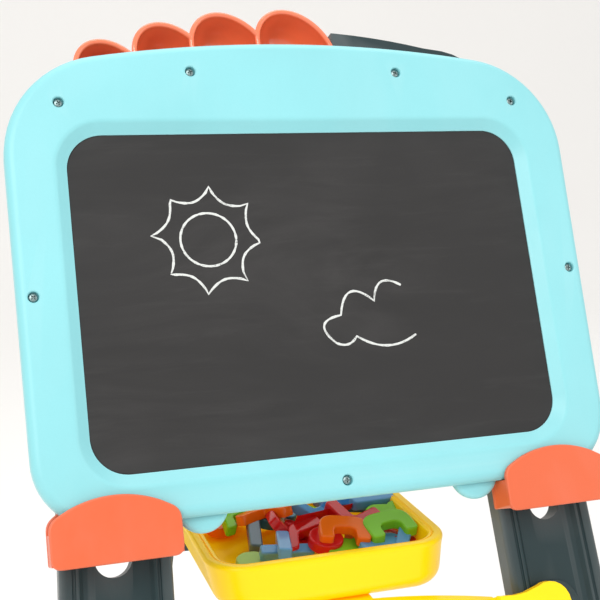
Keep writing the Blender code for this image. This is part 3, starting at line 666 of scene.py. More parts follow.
CORNER_STEPS = 14
CROWN_STEPS = 22


def board_outline(inset=0.0):
    """The board's outline from the lower right corner round to the lower left."""
    size = sizes().board
    low_centre = (size.half_bottom - size.bottom_corner, size.bottom_corner - size.bottom)
    crown_centre = size.top - size.crown
    corner_u = size.half_top - size.top_corner
    corner_v = crown_centre + math.sqrt((size.crown - size.top_corner) ** 2 - corner_u ** 2)
    turn = math.degrees(math.atan2(corner_v - crown_centre, corner_u))
    right = arc(low_centre, size.bottom_corner - inset, -90, 0, CORNER_STEPS)
    right += arc((corner_u, corner_v), size.top_corner - inset, 0, turn, CORNER_STEPS)
    crown = arc((0.0, crown_centre), size.crown - inset, turn, 180 - turn, CROWN_STEPS)[1:-1]
    return right + crown + [(-u, v) for u, v in reversed(right)]


def window_outline(growth=0.0):
    """The opening's outline, point for point with the board's."""
    size = sizes().board
    half_u, half_v = size.window_half_width + growth, size.window_half_height + growth
    radius = size.window_corner + growth
    right = arc((half_u - radius, radius - half_v), radius, -90, 0, CORNER_STEPS)
    right += arc((half_u - radius, half_v - radius), radius, 0, 90, CORNER_STEPS)
    reach = half_u - radius
    crown = [(reach - 2 * reach * step / CROWN_STEPS, half_v) for step in range(1, CROWN_STEPS)]
    return right + crown + [(-u, v) for u, v in reversed(right)]


def screw_places():
    """Middles of the board's screws in the leaning frame, by node name."""
    into = FRONT.inverted()
    places = {}
    for node in sorted(frame["nodes"]):
        if node.startswith("board_screw_"):
            low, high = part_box(node)
            middle = into @ ((low + high) / 2)
            places[node] = Vector((middle.x, middle.y))
    return places


SCREW_HEAD = 0.0028
SCREW_RECESS = 0.0034
RECESS_DEPTH = 0.0036
LIP_UNDERSIDE = -0.0004
BACK_SHELF = -0.0036
TAB_ROOT = 0.014


def make_front_shell():
    size = sizes().board
    rings = [at(board_outline(), -size.split)]
    rings += stack(board_outline, [(inset, size.face - drop) for inset, drop in rounding(size.edge, 8)])
    crest = 0.0012
    rings += stack(window_outline, (
        (size.chamfer + 2.2 * crest, size.face), (size.chamfer + 1.2 * crest, size.face - 0.10 * crest),
        (size.chamfer + 0.4 * crest, size.face - 0.32 * crest),
        (size.chamfer - 0.6 * crest, size.face - 0.80 * crest), (0.0016, size.lip + 0.0004),
        (0.0006, size.lip), (0.0, size.lip - 0.0006), (0.0, LIP_UNDERSIDE), (size.lap, LIP_UNDERSIDE),
        (size.lap, -size.split)))
    shell = skin("board_shell_front", rings, closed=True)
    cutters = []
    top = size.face
    circle = arc((0.0, 0.0), 1.0, 0, 360, 32)[:-1]
    levels = ((SCREW_RECESS, top - RECESS_DEPTH), (SCREW_RECESS, top - 0.0006),
              (SCREW_RECESS + 0.0006, top), (SCREW_RECESS + 0.0012, top + 0.001))
    for place in screw_places().values():
        circles = [[(place.x + radius * u, place.y + radius * v, level) for u, v in circle]
                   for radius, level in levels]
        cutters.append(skin("recess", circles))
    combine(shell, join(cutters[0], cutters[1:]))
    complete(shell, FRONT, "board", "turquoise_plastic", ["board_frame_front"])


def make_back_shell():
    size = sizes().board
    seam = -size.split - GAP
    rings = stack(board_outline, ((0.0008, seam), (0.0, seam - 0.0006)))
    for outline, radius, steps in ((board_outline, size.edge / 2, 5), (window_outline, 0.0016, 4)):
        rings += stack(outline, [(inset, drop - size.back) for inset, drop in rounding(radius, steps)])
    rings += stack(window_outline, ((0.0, BACK_SHELF), (size.lap, BACK_SHELF), (size.lap, seam)))
    shell = skin("board_shell_back", rings, closed=True)
    complete(shell, FRONT, "board", "turquoise_plastic", ["board_frame_back"])
    for name, side in SIDES.items():
        centre = (side * size.tab_place, size.tab_radius - size.bottom - size.tab_drop)
        outline = arc(centre, size.tab_radius, -190, 10, 30)
        outline += [(side * size.tab_place + root, TAB_ROOT - size.bottom) for root in (0.0125, -0.0125)]
        tab = slab("board_tab_" + name, outline, 0.001 - size.back, -size.split - 2 * GAP, 0.0022, 0.0030, 5)
        complete(tab, FRONT, "board", "turquoise_plastic")


def screw_head(name, radius, height):
    """A pan head with a cross recess, seated at level 0, with its shank below."""
    circle = arc((0.0, 0.0), 1.0, 0, 360, 40)[:-1]
    levels = [(0.42 * radius, -0.0035), (0.46 * radius, -0.0032), (0.46 * radius, 0.0), (radius * 0.96, 0.0),
              (radius, 0.12 * height), (radius, 0.45 * height), (0.90 * radius, 0.76 * height),
              (0.66 * radius, 0.95 * height), (0.30 * radius, height)]
    head = skin(name, [[(u * r, v * r, level) for u, v in circle] for r, level in levels])
    for long, wide in ((0.62, 0.13), (0.13, 0.62)):
        half_u, half_v = long * radius, wide * radius
        corners = ((half_u, half_v), (-half_u, half_v), (-half_u, -half_v), (half_u, -half_v))
        foot, mouth = [[(x * taper, y * taper, part * height) for x, y in corners]
                       for taper, part in ((0.55, 0.35), (1, 1.05))]
        combine(head, skin("slot", [foot, mouth]))
    return head


def make_screws():
    size = sizes().board
    seat = size.face - RECESS_DEPTH + 0.0001
    for turn, (node, place) in enumerate(screw_places().items()):
        head = screw_head(node + "_head", SCREW_HEAD, 0.0019)
        spun = FRONT @ Matrix.Translation((place.x, place.y, seat)) @ Matrix.Rotation(0.7 * turn, 4, "Z")
        complete(head, spun, "board", "screw_steel", [node])
    back_seat = 0.0018 - sizes().leg.back
    for name in SIDES:
        node = "joint_screw_" + name
        low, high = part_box(node)
        middle = FRONT.inverted() @ ((low + high) / 2)
        head = screw_head(node + "_head", 0.0036, 0.0018)
        turned = Matrix.Translation((middle.x, middle.y, back_seat)) @ Matrix.Rotation(math.pi, 4, "X")
        complete(head, FRONT @ turned, "front_frame", "screw_steel", [node])


# ---------------------------------------------------------------- drawing in chalk

SUN_CENTRE = Vector((-0.0705, 0.0355))
SUN_DISC = 0.0177
SUN_POINT = 0.0350
SUN_NOTCH = 0.0265
SUN_POINTS = 8
STROKE_WIDTH = 0.0017
STROKE_HEIGHT = 0.00016
BOW_STEPS = 12
CLOUD = (
    ((0.0560, -0.0010), (0.0357, -0.0105), 0.0085), ((0.0357, -0.0105), (0.0115, -0.0185), 0.0115),
    ((0.0115, -0.0185), (0.0060, -0.0365), 0.0100), ((0.0060, -0.0365), (0.0205, -0.0330), 0.0032),
    ((0.0205, -0.0330), (0.0620, -0.0345), 0.0068),
)


def bow(start, end, rise):
    """An arc between two points that rises to the right of the way from start to end."""
    start, end = Vector(start), Vector(end)
    run = end - start
    side = Vector((run.y, -run.x)).normalized()
    shares = [step / BOW_STEPS for step in range(BOW_STEPS + 1)]
    return [start + run * s + side * rise * 4 * s * (1 - s) for s in shares]


def chalk_stroke(name, route, closed):
    """A stroke of chalk: a thin, uneven ribbon laid along its route."""
    curve = bpy.data.curves.new(name, "CURVE")
    curve.dimensions = "3D"
    curve.bevel_depth = STROKE_WIDTH / 2
    curve.bevel_resolution = 2
    spline = curve.splines.new("POLY")
    spline.points.add(len(route) - 1)
    for number, (point, place) in enumerate(zip(spline.points, route)):
        point.co = (place[0], place[1], 0.0, 1.0)
        point.radius = 0.85 + 0.22 * math.sin(1.9 * number) * math.sin(0.37 * number + 1.0)
    spline.use_cyclic_u = closed
    curve.use_fill_caps = not closed
    item = bpy.data.objects.new(name, curve)
    bpy.context.scene.collection.objects.link(item)
    hold(item)
    bpy.ops.object.convert(target="MESH")
    item = named(name)
    open_mesh(item)
    bpy.ops.mesh.remove_doubles(threshold=0.00001)
    flatness = STROKE_HEIGHT / STROKE_WIDTH
    bpy.ops.transform.resize(value=(1.0, 1.0, flatness), center_override=(0.0, 0.0, 0.0))
    close_mesh()
    return item


def make_drawing():
    points = []
    notch_turn = math.pi / SUN_POINTS
    for ray in range(SUN_POINTS):
        wobble = 0.0016 * math.sin(2.3 * ray)
        start = math.radians(84) - 2 * notch_turn * ray
        for step in range(12):
            s = step / 12
            radius = SUN_POINT + wobble - (SUN_POINT - SUN_NOTCH) * (4 * s * (1 - s)) ** 0.75
            turn = start - 2 * notch_turn * s
            points.append(SUN_CENTRE + Vector((math.cos(turn), math.sin(turn))) * radius)
    disc = [SUN_CENTRE + Vector((math.cos(turn) * 1.02, math.sin(turn) * 0.98)) * SUN_DISC
            for turn in (2 * math.pi * step / 64 for step in range(64))]
    cloud = []
    for start, end, rise in CLOUD:
        cloud += bow(start, end, rise)[bool(cloud):]
    for name, route, closed in (("chalk_sun_rays", points, True), ("chalk_sun_disc", disc, True),
                                ("chalk_cloud", cloud, False)):
        stroke = chalk_stroke(name, route, closed)
        complete(stroke, FRONT @ Matrix.Translation((0.0, 0.0, 0.0001)), "board", "chalk", angle=60)


# ---------------------------------------------------------------- front frame

HOLES = ((0.145, 0.084, 0.01125), (0.145, 0.153, 0.01125), (0.1405, 0.222, 0.0085))
BOSS = 0.0185
LEG_FOOT = -0.76
PANEL_FOOT = -0.66
PANEL_HEAD = 0.050
GROOVE_PLACE = 0.0034
GROOVE_RADIUS = 0.0012
INNER_SPLAY = math.radians(2.0)
OUTER_SPLAY = math.radians(2.8)


def leg_edges(v):
    size = sizes().leg
    drop = -size.level - v
    return size.inner + drop * math.tan(INNER_SPLAY), size.outer + drop * math.tan(OUTER_SPLAY)


def leg_panel(growth=0.0):
    """The outline of the long sunk panel between the leg's rails."""
    size = sizes().leg
    low, high = PANEL_FOOT - growth, PANEL_HEAD + growth
    rail = size.rail - growth
    inner_low, outer_low = leg_edges(low)
    inner_high, outer_high = leg_edges(high)
    corners = ((inner_low + rail, low), (outer_low - rail, low),
               (outer_high - rail, high), (inner_high + rail, high))
    return rounded([(corner, 0.008 + growth) for corner in corners], 8)


def make_front_leg(name, side):
    size = sizes().leg
    foot = LEG_FOOT
    inner_low, outer_low = leg_edges(foot)
    inner_high, outer_high = leg_edges(size.top)
    outline = [(inner_low, foot), (outer_low, foot), (outer_high, size.top), (inner_high, size.top)]
    leg = slab("front_leg_%s_moulding" % name, flipped(outline, side), -size.back, -size.front,
               size.round, size.round, 4)
    for face, out in ((-size.front, 1), (-size.back, -1)):
        floor = face - out * size.sink
        levels = ((-0.0022, floor), (-0.0018, floor + out * 0.0003), (-0.0004, floor + out * 0.0018),
                  (0.0001, face - out * 0.0002), (0.0012, face + out * 0.0010))
        rings = [at(flipped(leg_panel(growth), side), level) for growth, level in levels]
        combine(leg, skin("sunk_panel", rings))
    turns = [2 * math.pi * (step + 0.4) / 10 for step in range(10)]
    groove = [at(flipped(leg_panel(GROOVE_PLACE + GROOVE_RADIUS * math.cos(turn)), side),
                 -size.front + GROOVE_RADIUS * math.sin(turn)) for turn in turns]
    combine(leg, skin("groove", groove, closed=True))
    inside_low, inside_high = -size.back + 0.0004, -size.front - size.sink - 0.0004
    for hole_u, hole_v, radius in HOLES:
        centre = (side * hole_u, -hole_v)
        if radius < HOLES[0][2]:
            island = rod("island", (*centre, (inside_low - size.front) / 2), BOSS, -size.front - inside_low,
                         vertices=72, bevel=0.0008)
            combine(leg, island, "UNION")
        collar = rod("collar", (*centre, (inside_low + inside_high) / 2), radius + 0.003,
                     inside_high - inside_low, bevel=0.0005)
        combine(leg, collar, "UNION")
        combine(leg, rod("hole", (*centre, -0.022), radius, 0.040, vertices=72))
    complete(leg, FRONT, "front_frame", "slate_plastic", ["front_leg_" + name])
    cut_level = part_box("front_foot_" + name)[1].z + GAP
    trim(leg, (0.0, 0.0, cut_level), (0.0, 0.0, 1.0))


SHOULDER_ROUND = 0.010


def clip_outline(crown, bottom, foot_round):
    """The clip's plate: a flat foot, straight sides and a low crown."""
    inner, outer, shoulder = 0.1065, 0.1833, -0.1290
    middle, half = (inner + outer) / 2, (outer - inner) / 2
    sagitta = crown - shoulder
    radius = (half ** 2 + sagitta ** 2) / (2 * sagitta)
    spread = math.degrees(math.asin(0.70 * half / radius))
    crest = arc((middle, crown - radius), radius, 90 - spread, 90 + spread, 20)
    corners = [((inner, bottom), foot_round), ((outer, bottom), foot_round),
               ((outer, shoulder + 0.0006), SHOULDER_ROUND)]
    corners += [(point, 0.0) for point in crest]
    corners += [((inner, shoulder + 0.0006), SHOULDER_ROUND)]
    return rounded(corners, 8)


def make_clip(name, side):
    leg = sizes().leg
    board = sizes().board
    face = board.face + 0.0005
    back = -board.back - GAP
    plate = slab("board_clip_%s_moulding" % name, flipped(clip_outline(-0.1165, -0.1554, 0.0065), side),
                 face, face + 0.0035, 0.0004, 0.0013, 4)
    rear = slab("rear_plate", flipped(clip_outline(-0.1130, -0.1536, 0.0015), side), -leg.front + GAP, back,
                0.0003, 0.0009)
    web_low, web_high = (0.1068, -0.1534, back - 0.002), (0.1830, -board.bottom - GAP, face + 0.002)
    near, far = sorted((side * web_low[0], side * web_high[0]))
    web = block("web", (near, *web_low[1:]), (far, *web_high[1:]))
    centre = (HOLES[0][0], -HOLES[0][1])
    tongue = [(0.127, -0.130), (0.163, -0.130)] + arc(centre, 0.018, 0, 180, 30)
    tongue = slab("tongue", flipped(tongue, side), -leg.front + 2 * GAP, back - GAP, 0.0003, 0.0006, 2)
    peg = rod("peg", (side * centre[0], centre[1], -0.0172), 0.0108, 0.0106, vertices=64, bevel=0.0006)
    for part in (rear, web, tongue, peg):
        combine(plate, part, "UNION")
    complete(plate, FRONT, "front_frame", "orange_plastic", ["board_clip_" + name])


def make_foot(node, body):
    """A rubber shoe with a grooved side and a rounded top."""
    low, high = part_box(node)
    middle, half = (low + high) / 2, (high - low) / 2
    tall = high.z - low.z
    levels = [(0.0012, 0.0), (0.0, 0.0009), (0.0, 0.30 * tall), (0.0007, 0.34 * tall),
              (0.0007, 0.42 * tall), (0.0, 0.46 * tall), (0.0, 0.62 * tall), (0.0007, 0.66 * tall),
              (0.0007, 0.72 * tall), (0.0, 0.76 * tall), (0.0002, 0.90 * tall), (0.0007, 0.97 * tall),
              (0.0016, tall)]
    centre = (middle.x, middle.y)
    rings = [at(rectangle(half.x - inset, half.y - inset, 0.005 - inset, centre, 6), low.z + level)
             for inset, level in levels]
    complete(skin(node + "_shoe", rings), LEVEL, body, "foot_rubber", [node])


# ---------------------------------------------------------------- cup rack

CUPS = ((-0.1188, 0.1505, 0.86), (-0.0779, 0.1614, 0.92), (-0.0367, 0.1668, 1.0), (0.0097, 0.1698, 1.0))
CUP_LONG = 0.034
CUP_SHORT = 0.026
CUP_TILT = math.radians(-52.0)
RACK_FRONT = -0.0125
RACK_BACK = -0.0375
RACK_SEAT = 0.1403
RIM_TUBE = 0.0019


def cup_ring(cup, inset, level):
    """One oval of a cup, at a level of the leaning frame."""
    u, v, scale = cup
    points = []
    for step in range(72):
        turn = 2 * math.pi * step / 72
        along = Vector(((CUP_LONG * scale - inset) * math.cos(turn),
                        (CUP_SHORT * scale - inset) * math.sin(turn)))
        along.rotate(Matrix.Rotation(CUP_TILT, 2))
        points.append((u + along.x, v + along.y, level))
    return points


def make_cup(number, cup):
    """A scoop with a rolled rim: its back, its wall, the rim and the bowl inside."""
    depth = RACK_FRONT - RACK_BACK
    rings = [cup_ring(cup, 0.0085 - inset_part, RACK_BACK + drop) for inset_part, drop in
             ((0.0, 0.0), (0.0030, 0.0004), (0.0052, 0.0016), (0.0065, 0.0040))]
    rings.append(cup_ring(cup, 0.0012, RACK_BACK + 0.5 * depth))
    centre_level = RACK_FRONT - RIM_TUBE
    for step in range(9):
        turn = math.radians(-30 + 240 * step / 8)
        rings.append(cup_ring(cup, RIM_TUBE - RIM_TUBE * math.cos(turn),
                              centre_level + RIM_TUBE * math.sin(turn)))
    width = CUP_SHORT * cup[2] - 2 * RIM_TUBE
    for step in range(1, 12):
        turn = math.pi / 2 * step / 12
        inset = 2 * RIM_TUBE + width * 0.88 * (1 - math.cos(turn))
        rings.append(cup_ring(cup, inset, centre_level - 0.001 - 0.0205 * math.sin(turn)))
    return skin("cup_%d_bowl" % number, rings)


def make_rack():
    low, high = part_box("cup_rack")
    left, right = low.x, high.x
    cups = []
    for number, cup in enumerate(CUPS, start=1):
        bowl = make_cup(number, cup)
        if number < len(CUPS):
            column = [cup_ring(CUPS[number], 0.0012, level) for level in (RACK_BACK - 0.01, RACK_FRONT + 0.01)]
            combine(bowl, skin("column", column))
        cups.append(bowl)
    for bowl in cups:
        trim(bowl, (0.0, RACK_SEAT, 0.0), (0.0, 1.0, 0.0))
        trim(bowl, (left, 0.0, 0.0), (1.0, 0.0, 0.0))
    parts = [block("rack_bar", (left, RACK_SEAT, RACK_BACK + 0.0006),
                   (right, RACK_SEAT + 0.0042, RACK_FRONT - 0.0006), 0.0008)]
    for place in (-0.120, 0.010):
        low_corner, high_corner = (place - 0.006, 0.1287, -0.0262), (place + 0.006, 0.1423, -0.0198)
        parts.append(block("prong", low_corner, high_corner, 0.0008))
    rack = join(cups[0], cups[1:] + parts)
    rack.name = "cup_rack_moulding"
    complete(rack, FRONT, "rack", "cup_plastic", ["cup_rack"])


# ---------------------------------------------------------------- bin and its support

def make_bin():
    size = sizes().bin
    low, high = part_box("letter_bin")
    middle, half = (low + high) / 2, (high - low) / 2
    floor, rim = low.z, high.z

    def ring(inset, level):
        corner = max(0.004, size.corner - inset)
        lean = size.lean * (rim - level) / (rim - floor)
        centre = (middle.x + lean + 0.0015, middle.y)
        return at(rectangle(half.x - 0.001 - lean - inset, half.y - inset, corner, centre, 12), level)

    def quarter(steps, first=0):
        return [math.pi / 2 * step / steps for step in range(first, steps + 1)]

    heel, outer, inner, hollow = 0.012, 0.0028, 0.0022, 0.008
    land, groove = size.rim - inner, 0.62 * size.rim
    profile = [(size.draft + heel + 0.0015, floor + 0.0008), (size.draft + heel + 0.0008, floor)]
    profile += [(size.draft + heel * (1 - math.sin(turn)), floor + heel * (1 - math.cos(turn)))
                for turn in quarter(10)]
    profile += [(0.0006, rim - 0.0065)]
    profile += [(inset, rim - drop) for inset, drop in rounding(outer, 6)]
    profile += [(0.58 * size.rim, rim - 0.0002), (groove, rim - 0.0006),
                (groove + size.groove / 2, rim - 0.0016), (groove + size.groove, rim - 0.0008),
                (land - 0.0006, rim - 0.0007), (land, rim - 0.0009)]
    profile += [(land + inner * math.sin(turn), rim - 0.0009 - inner * (1 - math.cos(turn)))
                for turn in quarter(5, 1)]
    bottom = floor + size.wall
    foot_inset = size.rim + 0.0020
    profile += [(foot_inset + hollow * (1 - math.cos(turn)), bottom + hollow * (1 - math.sin(turn)))
                for turn in quarter(6)]
    tray = skin("letter_bin_moulding", [ring(inset, level) for inset, level in profile])
    complete(tray, LEVEL, "bin", "yellow_plastic", ["letter_bin"])


CHEEK = ((-0.0795, 0.4450), (-0.0795, 0.4534), (-0.0925, 0.4615), (-0.0925, 0.4450))


def make_support():
    """The support as packed, with a sloping cheek from its bow up to each end plate."""
    support = copy_of("bin_support_moulding", "bin_support")
    for side in SIDES.values():
        ends = [[(side * x, y, z) for y, z in CHEEK] for x in (0.0980, 0.1045)]
        combine(support, skin("cheek", ends), "UNION")
    return soften(support, 0.0010)


# Corners of the loose shapes, each with the radius of its bend, in millimetres.
TOKEN_CORNERS = {
    "arch": ((-16, -11, 3), (-7, -11, 3), (-7, 0, 5), (7, 0, 5), (7, -11, 3), (16, -11, 3), (16, 11, 11),
             (-16, 11, 11)),
    "wave": ((-17, -10, 3), (-8, -10, 3), (-2, 1, 4), (17, 1, 3), (17, 10, 3), (2, 10, 5), (-4, 10, 4)),
    "wedge": ((-15, -9, 3), (15, -9, 3), (0, 14, 3)),
    "corner": ((-14, -14, 3), (14, -14, 3), (14, -5, 3), (-5, -5, 3), (-5, 14, 3), (-14, 14, 3)),
}


def token_outline(kind):
    """Outlines of the loose shapes, about 30 mm across."""
    if kind == "bar":
        return rectangle(0.017, 0.0042, 0.002)
    if kind == "bean":
        return arc((-0.006, 0.0), 0.010, 60, 300, 20) + arc((0.009, 0.0), 0.0075, 235, 485, 18)
    if kind == "disc":
        return arc((0.0, 0.0), 0.011, 0, 360, 36)[:-1]
    return rounded([((u / 1000, v / 1000), radius / 1000) for u, v, radius in TOKEN_CORNERS[kind]], 6)


# Each loose shape: outline, colour, x, y and z in metres, then yaw, pitch and roll in degrees.
TOKENS = (
    ("arch", "green", 0.0556, -0.0125, 0.4850, 8, 16, -4),
    ("bean", "green", 0.0670, 0.0180, 0.4800, 20, 20, -4),
    ("arch", "tangerine", 0.0237, -0.0095, 0.4845, -14, 16, 6),
    ("corner", "red", 0.0416, 0.0196, 0.4850, 28, 24, -6),
    ("bar", "sky", 0.0629, 0.0334, 0.4860, 10, 14, 4), ("bar", "blue", 0.0490, 0.0400, 0.4820, -20, 16, 0),
    ("corner", "sky", 0.0149, 0.0411, 0.4840, 40, 22, 10),
    ("wedge", "blue", 0.0290, 0.0360, 0.4790, -20, 20, 6),
    ("corner", "tangerine", -0.0211, 0.0353, 0.4845, 200, 16, 4),
    ("wave", "green", -0.0374, 0.0557, 0.4750, 30, 14, 4),
    ("bar", "grey_blue", -0.0290, 0.0350, 0.4740, 82, 6, -22),
    ("arch", "red", -0.0093, 0.0285, 0.4770, 80, 44, 4),
    ("wave", "red", -0.0025, 0.0043, 0.4780, 15, 16, -8),
    ("disc", "red", 0.0103, -0.0090, 0.4785, 0, 14, 4),
    ("corner", "red", 0.0092, 0.0280, 0.4740, 60, 14, 6),
    ("bar", "sky", -0.0204, -0.0096, 0.4800, 76, 4, 4), ("bar", "sky", -0.0165, -0.0048, 0.4720, -6, 20, 4),
    ("bean", "green", 0.0254, -0.0150, 0.4725, 10, 14, 4),
    ("wedge", "red", 0.0528, -0.0060, 0.4740, 100, 6, 4),
    ("bean", "sky", 0.0474, -0.0215, 0.4750, 20, 8, 4), ("bar", "sky", 0.0625, -0.0229, 0.4760, 60, 8, -24),
    ("wedge", "red", 0.0720, -0.0060, 0.4720, 50, 6, 4),
    ("disc", "pale_green", -0.0394, 0.0000, 0.4640, 0, 6, 2),
    ("wave", "red", 0.0000, 0.0180, 0.4690, 60, 8, 10), ("bean", "teal", -0.0080, 0.0520, 0.4740, 20, 8, 8),
    ("wedge", "tangerine", 0.0400, 0.0080, 0.4730, 10, 8, 4),
    ("arch", "sky", 0.0560, 0.0700, 0.4730, 160, 8, 4), ("wave", "green", 0.0220, 0.0680, 0.4720, 70, 6, 8),
    ("corner", "red", -0.0120, 0.0780, 0.4690, 20, 10, 4),
    ("disc", "tangerine", -0.0440, 0.0740, 0.4640, 0, 6, 4),
    ("wedge", "blue", 0.0460, 0.0920, 0.4650, 30, 6, 4),
    ("arch", "tangerine", 0.0100, 0.0900, 0.4640, 200, 4, 4),
    ("bean", "red", -0.0340, 0.0920, 0.4640, 70, 4, 4),
)
TOKEN_SCALE = 1.12
TOKEN_THICKNESS = 0.0076


def make_token(number, kind, colour, x, y, z, yaw, pitch, roll):
    """A hollow-backed magnetic shape, dropped in the bin as it fell."""
    outline = [(u * TOKEN_SCALE, v * TOKEN_SCALE) for u, v in token_outline(kind)]
    item = slab("loose_%02d_%s" % (number, kind), outline, 0.0, TOKEN_THICKNESS, 0.0005, 0.0013)
    open_mesh(item)
    pick(item, "FACE", lambda face: face.normal.z < -0.9)
    bpy.ops.mesh.inset(thickness=0.0014, use_even_offset=True)
    bpy.ops.mesh.extrude_region_move(TRANSFORM_OT_translate={"value": (0.0, 0.0, 0.0045)})
    close_mesh()
    turn = Matrix.Rotation(math.radians(yaw), 4, "Z")
    tilt = Matrix.Rotation(math.radians(pitch), 4, "X") @ Matrix.Rotation(math.radians(roll), 4, "Y")
    place = Matrix.Translation((x, y, z)) @ turn @ tilt @ Matrix.Translation((0.0, 0.0, -TOKEN_THICKNESS / 2))
    complete(item, place, "bin", colour)


# ---------------------------------------------------------------- stage

def make_stage():
    let_go()
    bpy.ops.mesh.primitive_plane_add(size=9.0, location=(0.0, 0.0, 0.0))
    floor = named("studio_floor")
    open_mesh(floor)
    pick(floor, "EDGE", lambda edge: all(end.co.y > 4.0 for end in edge.verts))
    bpy.ops.mesh.extrude_region_move(TRANSFORM_OT_translate={"value": (0.0, 0.0, 4.0)})
    pick(floor, "EDGE", lambda edge: all(end.co.y > 4.0 and end.co.z < 0.1 for end in edge.verts))
    bpy.ops.mesh.bevel(offset=1.6, segments=24, profile=0.5)
    close_mesh()
    bpy.ops.object.shade_smooth()
    floor.data.materials.append(FINISHES["floor"])


def add_light(name, place, size, power, rgb):
    """An area light aimed at the middle of the board."""
    let_go()
    turn = (FRONT.translation - Vector(place)).to_track_quat("-Z", "Y").to_euler()
    bpy.ops.object.light_add(type="AREA", radius=size, location=place, rotation=turn)
    light = bpy.context.object
    light.name = name
    light.data.energy = power
    light.data.color = rgb


def light_stage():
    add_light("key", (-1.5, -1.5, 2.1), 1.3, 24.0, (1.0, 0.985, 0.96))
    add_light("fill", (1.8, -1.6, 1.5), 1.6, 7.0, (0.96, 0.98, 1.0))
    add_light("glint", (-0.35, -0.95, 1.75), 0.35, 2.6, WHITE)
    add_light("top", (0.2, 0.4, 2.6), 1.8, 16.0, WHITE)
    world = bpy.data.worlds.new("studio")
    bpy.context.scene.world = world
    world.use_nodes = True
    sky = world.node_tree.nodes["Background"].inputs
    sky["Color"].default_value = (1.0, 0.99, 0.975, 1.0)
    sky["Strength"].default_value = 0.80


CAMERA_OFFSET = Vector((-0.2326, -0.6602, 0.1249))
CAMERA_YAW = math.radians(18.316)
CAMERA_PITCH = math.radians(10.737)


def place_camera():
    let_go()
    bpy.ops.object.camera_add(location=FRONT.translation + CAMERA_OFFSET,
                              rotation=(math.pi / 2 - CAMERA_PITCH, 0.0, -CAMERA_YAW))
    camera = bpy.context.object
    camera.name = "viewpoint"
    camera.data.lens = 66.0
    camera.data.sensor_width = 36.0
    camera.data.clip_start = 0.01
    bpy.context.scene.camera = camera
    bpy.context.scene.view_settings.view_transform = "Standard"


# ---------------------------------------------------------------- operators

class Step:
    """What every operator does: it makes its pieces and is finished."""

    def execute(self, context):
        self.make()
        return {"FINISHED"}


class EASEL_OT_finishes(Step, bpy.types.Operator):
    """Mix the plastics, panels, metals, rubber and chalk"""
    bl_idname = "easel.finishes"
    bl_label = "Finishes"

    def make(self):
        FINISHES.update(make_finishes())


class EASEL_OT_board(Step, bpy.types.Operator):
    """Model the board's two shells and tabs, and dress its panels"""
    bl_idname = "easel.board"
    bl_label = "Board"

    def make(self):
        make_front_shell()
        make_back_shell()
        dress("chalk_panel", "chalkboard")
        dress("magnet_sheet", "sheet_steel")
        dress("white_panel", "whiteboard")


class EASEL_OT_screws(Step, bpy.types.Operator):
    """Model the cross-head screws of the board and the leg joints"""
    bl_idname = "easel.screws"
    bl_label = "Screws"

    def make(self):
        make_screws()


class EASEL_OT_drawing(Step, bpy.types.Operator):
    """Draw the sun and the cloud in chalk"""
    bl_idname = "easel.drawing"
    bl_label = "Chalk drawing"

    def make(self):
        make_drawing()


class EASEL_OT_front_frame(Step, bpy.types.Operator):
    """Model the front legs, the arch, the clips and the hinge pins"""
    bl_idname = "easel.front_frame"
    bl_label = "Front frame"

    def make(self):
        for name, side in SIDES.items():
            make_front_leg(name, side)
            make_clip(name, side)
            pin = soften(copy_of("hinge_pin_%s_turned" % name, "hinge_pin_" + name), 0.0006)
            complete(pin, LEVEL, "front_frame", "screw_steel", ["hinge_pin_" + name])
        arch = soften(copy_of("top_arch_moulding", "top_arch"), 0.0014)
        complete(arch, LEVEL, "front_frame", "slate_plastic", ["top_arch"])


class EASEL_OT_feet(Step, bpy.types.Operator):
    """Model the four rubber feet"""
    bl_idname = "easel.feet"
    bl_label = "Feet"

    def make(self):
        for name in SIDES:
            make_foot("front_foot_" + name, "front_frame")
            make_foot("rear_foot_" + name, "rear_frame")


class EASEL_OT_rear_frame(Step, bpy.types.Operator):
    """Model the rear legs and their crossbars"""
    bl_idname = "easel.rear_frame"
    bl_label = "Rear frame"

    def make(self):
        for part in ("leg_left", "leg_right", "top_bar", "bin_crossbar", "low_crossbar"):
            node = "rear_" + part
            piece = soften(copy_of(node + "_moulding", node), 0.0010)
            complete(piece, LEVEL, "rear_frame", "slate_plastic", [node])


class EASEL_OT_rack(Step, bpy.types.Operator):
    """Model the rack of four scoops"""
    bl_idname = "easel.rack"
    bl_label = "Cup rack"

    def make(self):
        make_rack()


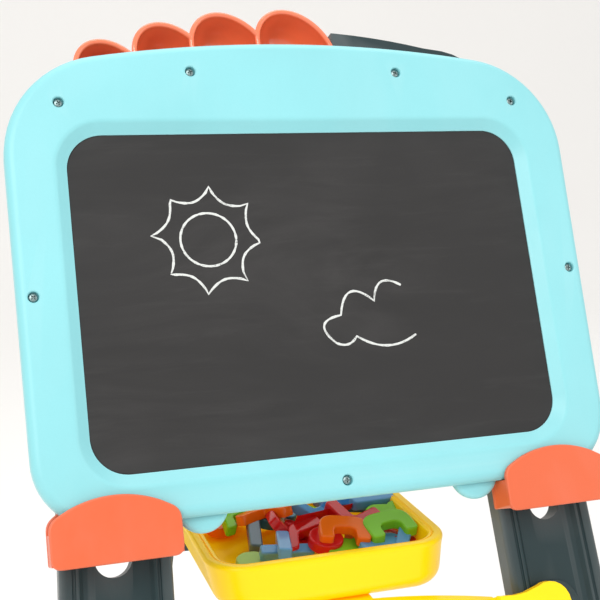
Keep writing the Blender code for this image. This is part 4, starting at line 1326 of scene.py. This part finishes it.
class EASEL_OT_bin(Step, bpy.types.Operator):
    """Model the letter bin and the support under it"""
    bl_idname = "easel.bin"
    bl_label = "Bin and support"

    def make(self):
        make_bin()
        complete(make_support(), LEVEL, "support", "yellow_plastic", ["bin_support"])


class EASEL_OT_tokens(Step, bpy.types.Operator):
    """Heap the loose magnetic shapes in the bin"""
    bl_idname = "easel.tokens"
    bl_label = "Loose shapes"

    def make(self):
        for number, row in enumerate(TOKENS, start=1):
            make_token(number, *row)


class EASEL_OT_stage(Step, bpy.types.Operator):
    """Lay the floor, light it and place the camera"""
    bl_idname = "easel.stage"
    bl_label = "Stage"

    def make(self):
        make_stage()
        light_stage()
        place_camera()


OPERATORS = (
    EASEL_OT_finishes, EASEL_OT_board, EASEL_OT_screws, EASEL_OT_drawing, EASEL_OT_front_frame, EASEL_OT_feet,
    EASEL_OT_rear_frame, EASEL_OT_rack, EASEL_OT_bin, EASEL_OT_tokens, EASEL_OT_stage,
)


class EASEL_PT_panel(bpy.types.Panel):
    """Lists the easel's pieces in the sidebar"""

    bl_label = "Kids easel"
    bl_idname = "EASEL_PT_panel"
    bl_space_type = "VIEW_3D"
    bl_region_type = "UI"
    bl_category = "Easel"

    def draw(self, context):
        for group in ("board", "leg", "bin", "colours"):
            box = self.layout.box()
            box.label(text=group.capitalize())
            settings = getattr(context.scene.easel, group)
            for name in settings.__annotations__:
                box.prop(settings, name)
        for operator in OPERATORS:
            self.layout.operator(operator.bl_idname)


CLASSES = (EaselBoardSizes, EaselLegSizes, EaselBinSizes, EaselColours, EaselSettings,
           *OPERATORS, EASEL_PT_panel)


def register():
    for item in CLASSES:
        bpy.utils.register_class(item)
    bpy.types.Scene.easel = PointerProperty(type=EaselSettings)


def unregister():
    del bpy.types.Scene.easel
    for item in reversed(CLASSES):
        bpy.utils.unregister_class(item)


def main():
    register()
    for operator in OPERATORS:
        _, name = operator.bl_idname.split(".")
        getattr(bpy.ops.easel, name)()


if __name__ == "__main__":
    main()
